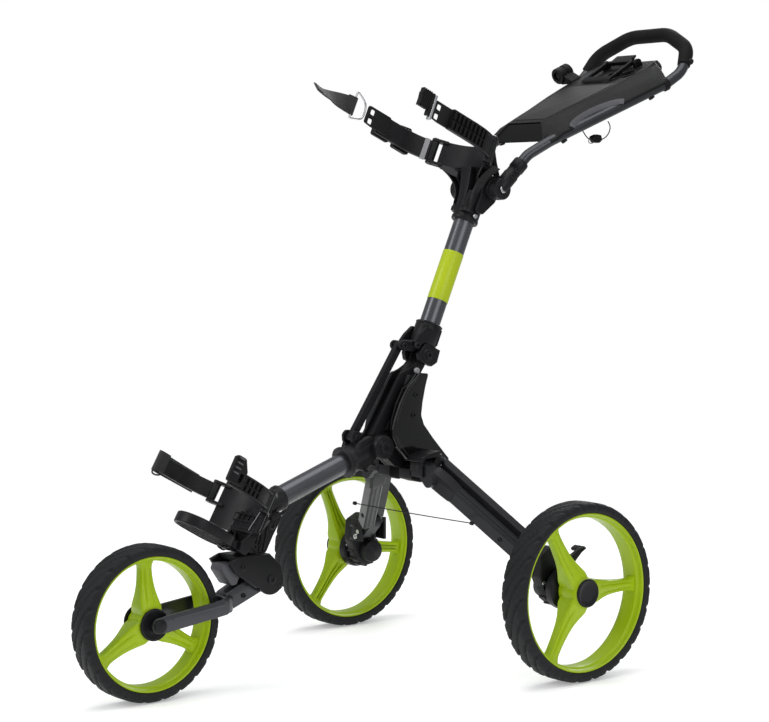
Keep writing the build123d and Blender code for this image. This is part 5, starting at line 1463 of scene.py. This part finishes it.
piece("neck_bolts", [socket_screw(at(452, 148, side * 15), (0, side, 0), 4, 2.4) for side in (1, -1)],
      "fork", "casting")

# ------------------------------------------------------------------ rear legs

LEG_TOP, LEG_FOOT = Vector((116.3, 62.0, 333.4)), Vector((22.3, 222.0, 184.5))
for name, side in (("left", 1), ("right", -1)):
    top, foot = [at(p.x, p.z, side * p.y) for p in (LEG_TOP, LEG_FOOT)]
    ahead = (foot - top).normalized()
    span = (foot - top).length
    front = (Vector((1, 0, 0)) - ahead * ahead.x).normalized()
    # ridges along the beam's front, back and outer faces
    parts = []
    for along_front, off, wide, high in ((0.0, 12.6, 5.0, 1.2), (7.6, 12.2, 2.6, 1.6),
                                         (-7.6, 12.2, 2.6, 1.6)):
        for face in (1, -1):
            out = ahead.cross(front).normalized() * face
            line = [top + ahead * (span * t) + front * (along_front * MM) + out * (off * MM)
                    for t in (0.16, 0.5, 0.84)]
            parts.append(along(line, bar_section(wide, high, 0.5), out))
    piece(f"leg_ridges_{name}", parts, f"leg_{name}", "leg_paint")
    # a dark shoe that tapers from the fold down onto the beam
    shoe = axes(top, front, ahead)
    rings = []
    for reach, deep, wide in ((16, 12.8, 12.0), (20, 15.0, 13.4), (34, 16.4, 14), (52, 15.4, 14),
                              (66, 14.4, 13.6), (70, 13.2, 12.6)):
        corner = [(-deep, -wide + 4), (-deep + 4, -wide), (deep - 4, -wide), (deep, -wide + 4),
                  (deep, wide - 4), (deep - 4, wide), (-deep + 4, wide), (-deep, wide - 4)]
        rings.append(placed(shoe, [(u, v, reach) for u, v in corner]))
    piece(f"leg_shoe_{name}", [skin(rings)], f"leg_{name}", "carrier", angle=30)
    # the link is a channel whose web reaches towards the beam
    beside = axes(top + Vector((-30, 0, 14)) * MM, front, ahead)
    rings = []
    for t, ahead_of in ((0.05, 4.6), (0.08, 11.8), (0.84, 11.8), (0.88, 4.6)):
        corner = [(-4.7, -6.9), (ahead_of, -6.9), (ahead_of, 6.9), (-4.7, 6.9)]
        rings.append([beside @ (Vector((u, v, 0)) * MM + Vector((0, 0, span * t))) for u, v in corner])
    piece(f"link_web_{name}", [skin(rings)], f"link_{name}", "carrier", angle=30)
    bolts = []
    for t in (0.24, 0.74):
        spot = top + ahead * (span * t) + front * (11.4 * MM)
        bolts.append(socket_screw(spot, front, 4.2, 1.8))
    piece(f"leg_bolts_{name}", bolts, f"leg_{name}", "carrier")

    # carrier: a slim rounded body, a fork round the leg's and link's feet, and a brake shield
    hub_place = wheel_place(at(0, 146), side)
    body_shape = rounded([(-18, 152), (-16, 206), (12, 215), (36, 203), (38, 166), (24, 134), (4, 121),
                          (-14, 124)], 8)
    parts = [lifted(body_shape, side, 238, 262, bevel=2.4)]
    parts.append(knob([(0.01, 223), (17, 223), (19.4, 224.4), (20.4, 228), (20.4, 239), (0.01, 239)],
                      hub_place, 48))
    for low, high in ((-18, -12.4), (6.2, 10.2), (34.4, 38.5)):
        wall = rounded([(low, 168), (low, 208), (high, 206), (high, 168)], 0.9)
        parts.append(lifted(wall, side, 210, 240, bevel=0.8))
    shield = [(20.6, 240), (24, 240), (27.4, 242), (28.6, 246), (28.6, 258), (27.4, 261.5), (24, 263),
              (8.0, 263)]
    parts.append(turned(shield, hub_place, 60))
    for k in range(12):
        turn = Matrix.Rotation(radians(30 * k), 4, "Z")
        parts.append(slab([(27.8, -2), (30.8, -2), (30.8, 2), (27.8, 2)], 246, 262, hub_place @ turn,
                          bevel=0.5))
    for forward, height in ((34, 196), (34, 172), (-8, 204)):
        boss = [(0.01, 226), (5.6, 226), (6.2, 227), (6.2, 243), (5.4, 244), (0.01, 244)]
        parts.append(knob(boss, wheel_place(at(forward, height), side), 24))
    piece(f"brake_shield_{name}", parts, f"carrier_{name}", "carrier", [f"carrier_{name}"], 40)
    bolts = [socket_screw(at(39.0, 176, side * 226), (1, 0, 0), 5.0, 2.6)]
    bolts.append(socket_screw(at(30, 156, side * 262), (0, side, 0), 3.2, 1.6))
    piece(f"carrier_bolts_{name}", bolts, f"carrier_{name}", "steel")

# the brake pedal: a slim lever behind the near wheel
lever = rounded([(-14, 184), (-14, 196), (-28, 199), (-46, 208), (-52, 205), (-34, 189), (-28, 182)], 2.6)
foot_pad = rounded([(-43, 205), (-53, 210), (-57, 205.4), (-46, 200)], 2)
parts = [side_slab(lever, 271.4, 262.6, bevel=1.2), side_slab(foot_pad, 271.4, 246, bevel=1.4)]
parts.append(disc(3.9, 238.4, 263, wheel_place(at(-22, 190), 1), 24))
piece("pedal_lever", parts, "pedal", "carrier", ["brake_pedal"])

# the brake cable's bare span between the legs, held at both ends
for name, side in (("left", 1), ("right", -1)):
    run = [at(90.5, 246.2, 0), at(90.8, 246.3, side * 39), at(91.5, 246.6, side * 78),
           at(94.8, 248, side * 155)]
    bend = ("spine", f"leg_{name}", run[0], run[-1])
    piece(f"cable_{name}", [pipe(smooth_path(run, 10), 0.9, 10, (0, 0, 1))], bend, "cable", ["brake_cable"])
    end = [(0.01, -4), (1.6, -4), (3.2, -2.4), (3.4, 2.4), (1.8, 4), (0.01, 4)]
    piece(f"cable_end_{name}", [knob(end, facing(at(94.8, 248, side * 157), (0, 1, 0)), 20)], f"leg_{name}",
          "cable")

# ------------------------------------------------------------------ floor

FLOOR_HALF, FADE_FROM, FADE_TO = 12.0, 0.8, 2.2  # metres
FLOOR_GLOW = 0.30
floor_mesh = mesh_of([(-FLOOR_HALF, -FLOOR_HALF, 0), (FLOOR_HALF, -FLOOR_HALF, 0),
                      (FLOOR_HALF, FLOOR_HALF, 0), (-FLOOR_HALF, FLOOR_HALF, 0)], [(0, 1, 2, 3)])
floor = bpy.data.objects.new("floor", floor_mesh)
bpy.context.scene.collection.objects.link(floor)
floor_paint, tree, main = shader("floor_paint")
main.inputs["Base Color"].default_value = (0.92, 0.92, 0.923, 1)
main.inputs["Roughness"].default_value = 0.8
main.inputs["Specular IOR Level"].default_value = 0.1
main.inputs["Emission Color"].default_value = (1, 1, 1, 1)
main.inputs["Emission Strength"].default_value = FLOOR_GLOW
# it thins out away from the cart, so that no horizon shows
spot = tree.nodes.new("ShaderNodeTexCoord")
reach = tree.nodes.new("ShaderNodeVectorMath")
reach.operation = "LENGTH"
tree.links.new(spot.outputs["Object"], reach.inputs[0])
fade = tree.nodes.new("ShaderNodeMapRange")
fade.interpolation_type = "SMOOTHSTEP"
fade.inputs["From Min"].default_value = FADE_FROM
fade.inputs["From Max"].default_value = FADE_TO
tree.links.new(reach.outputs["Value"], fade.inputs["Value"])
clear = tree.nodes.new("ShaderNodeBsdfTransparent")
thinned = tree.nodes.new("ShaderNodeMixShader")
tree.links.new(fade.outputs["Result"], thinned.inputs["Fac"])
tree.links.new(main.outputs["BSDF"], thinned.inputs[1])
tree.links.new(clear.outputs["BSDF"], thinned.inputs[2])
tree.links.new(thinned.outputs["Shader"], tree.nodes["Material Output"].inputs["Surface"])
floor_mesh.materials.append(floor_paint)
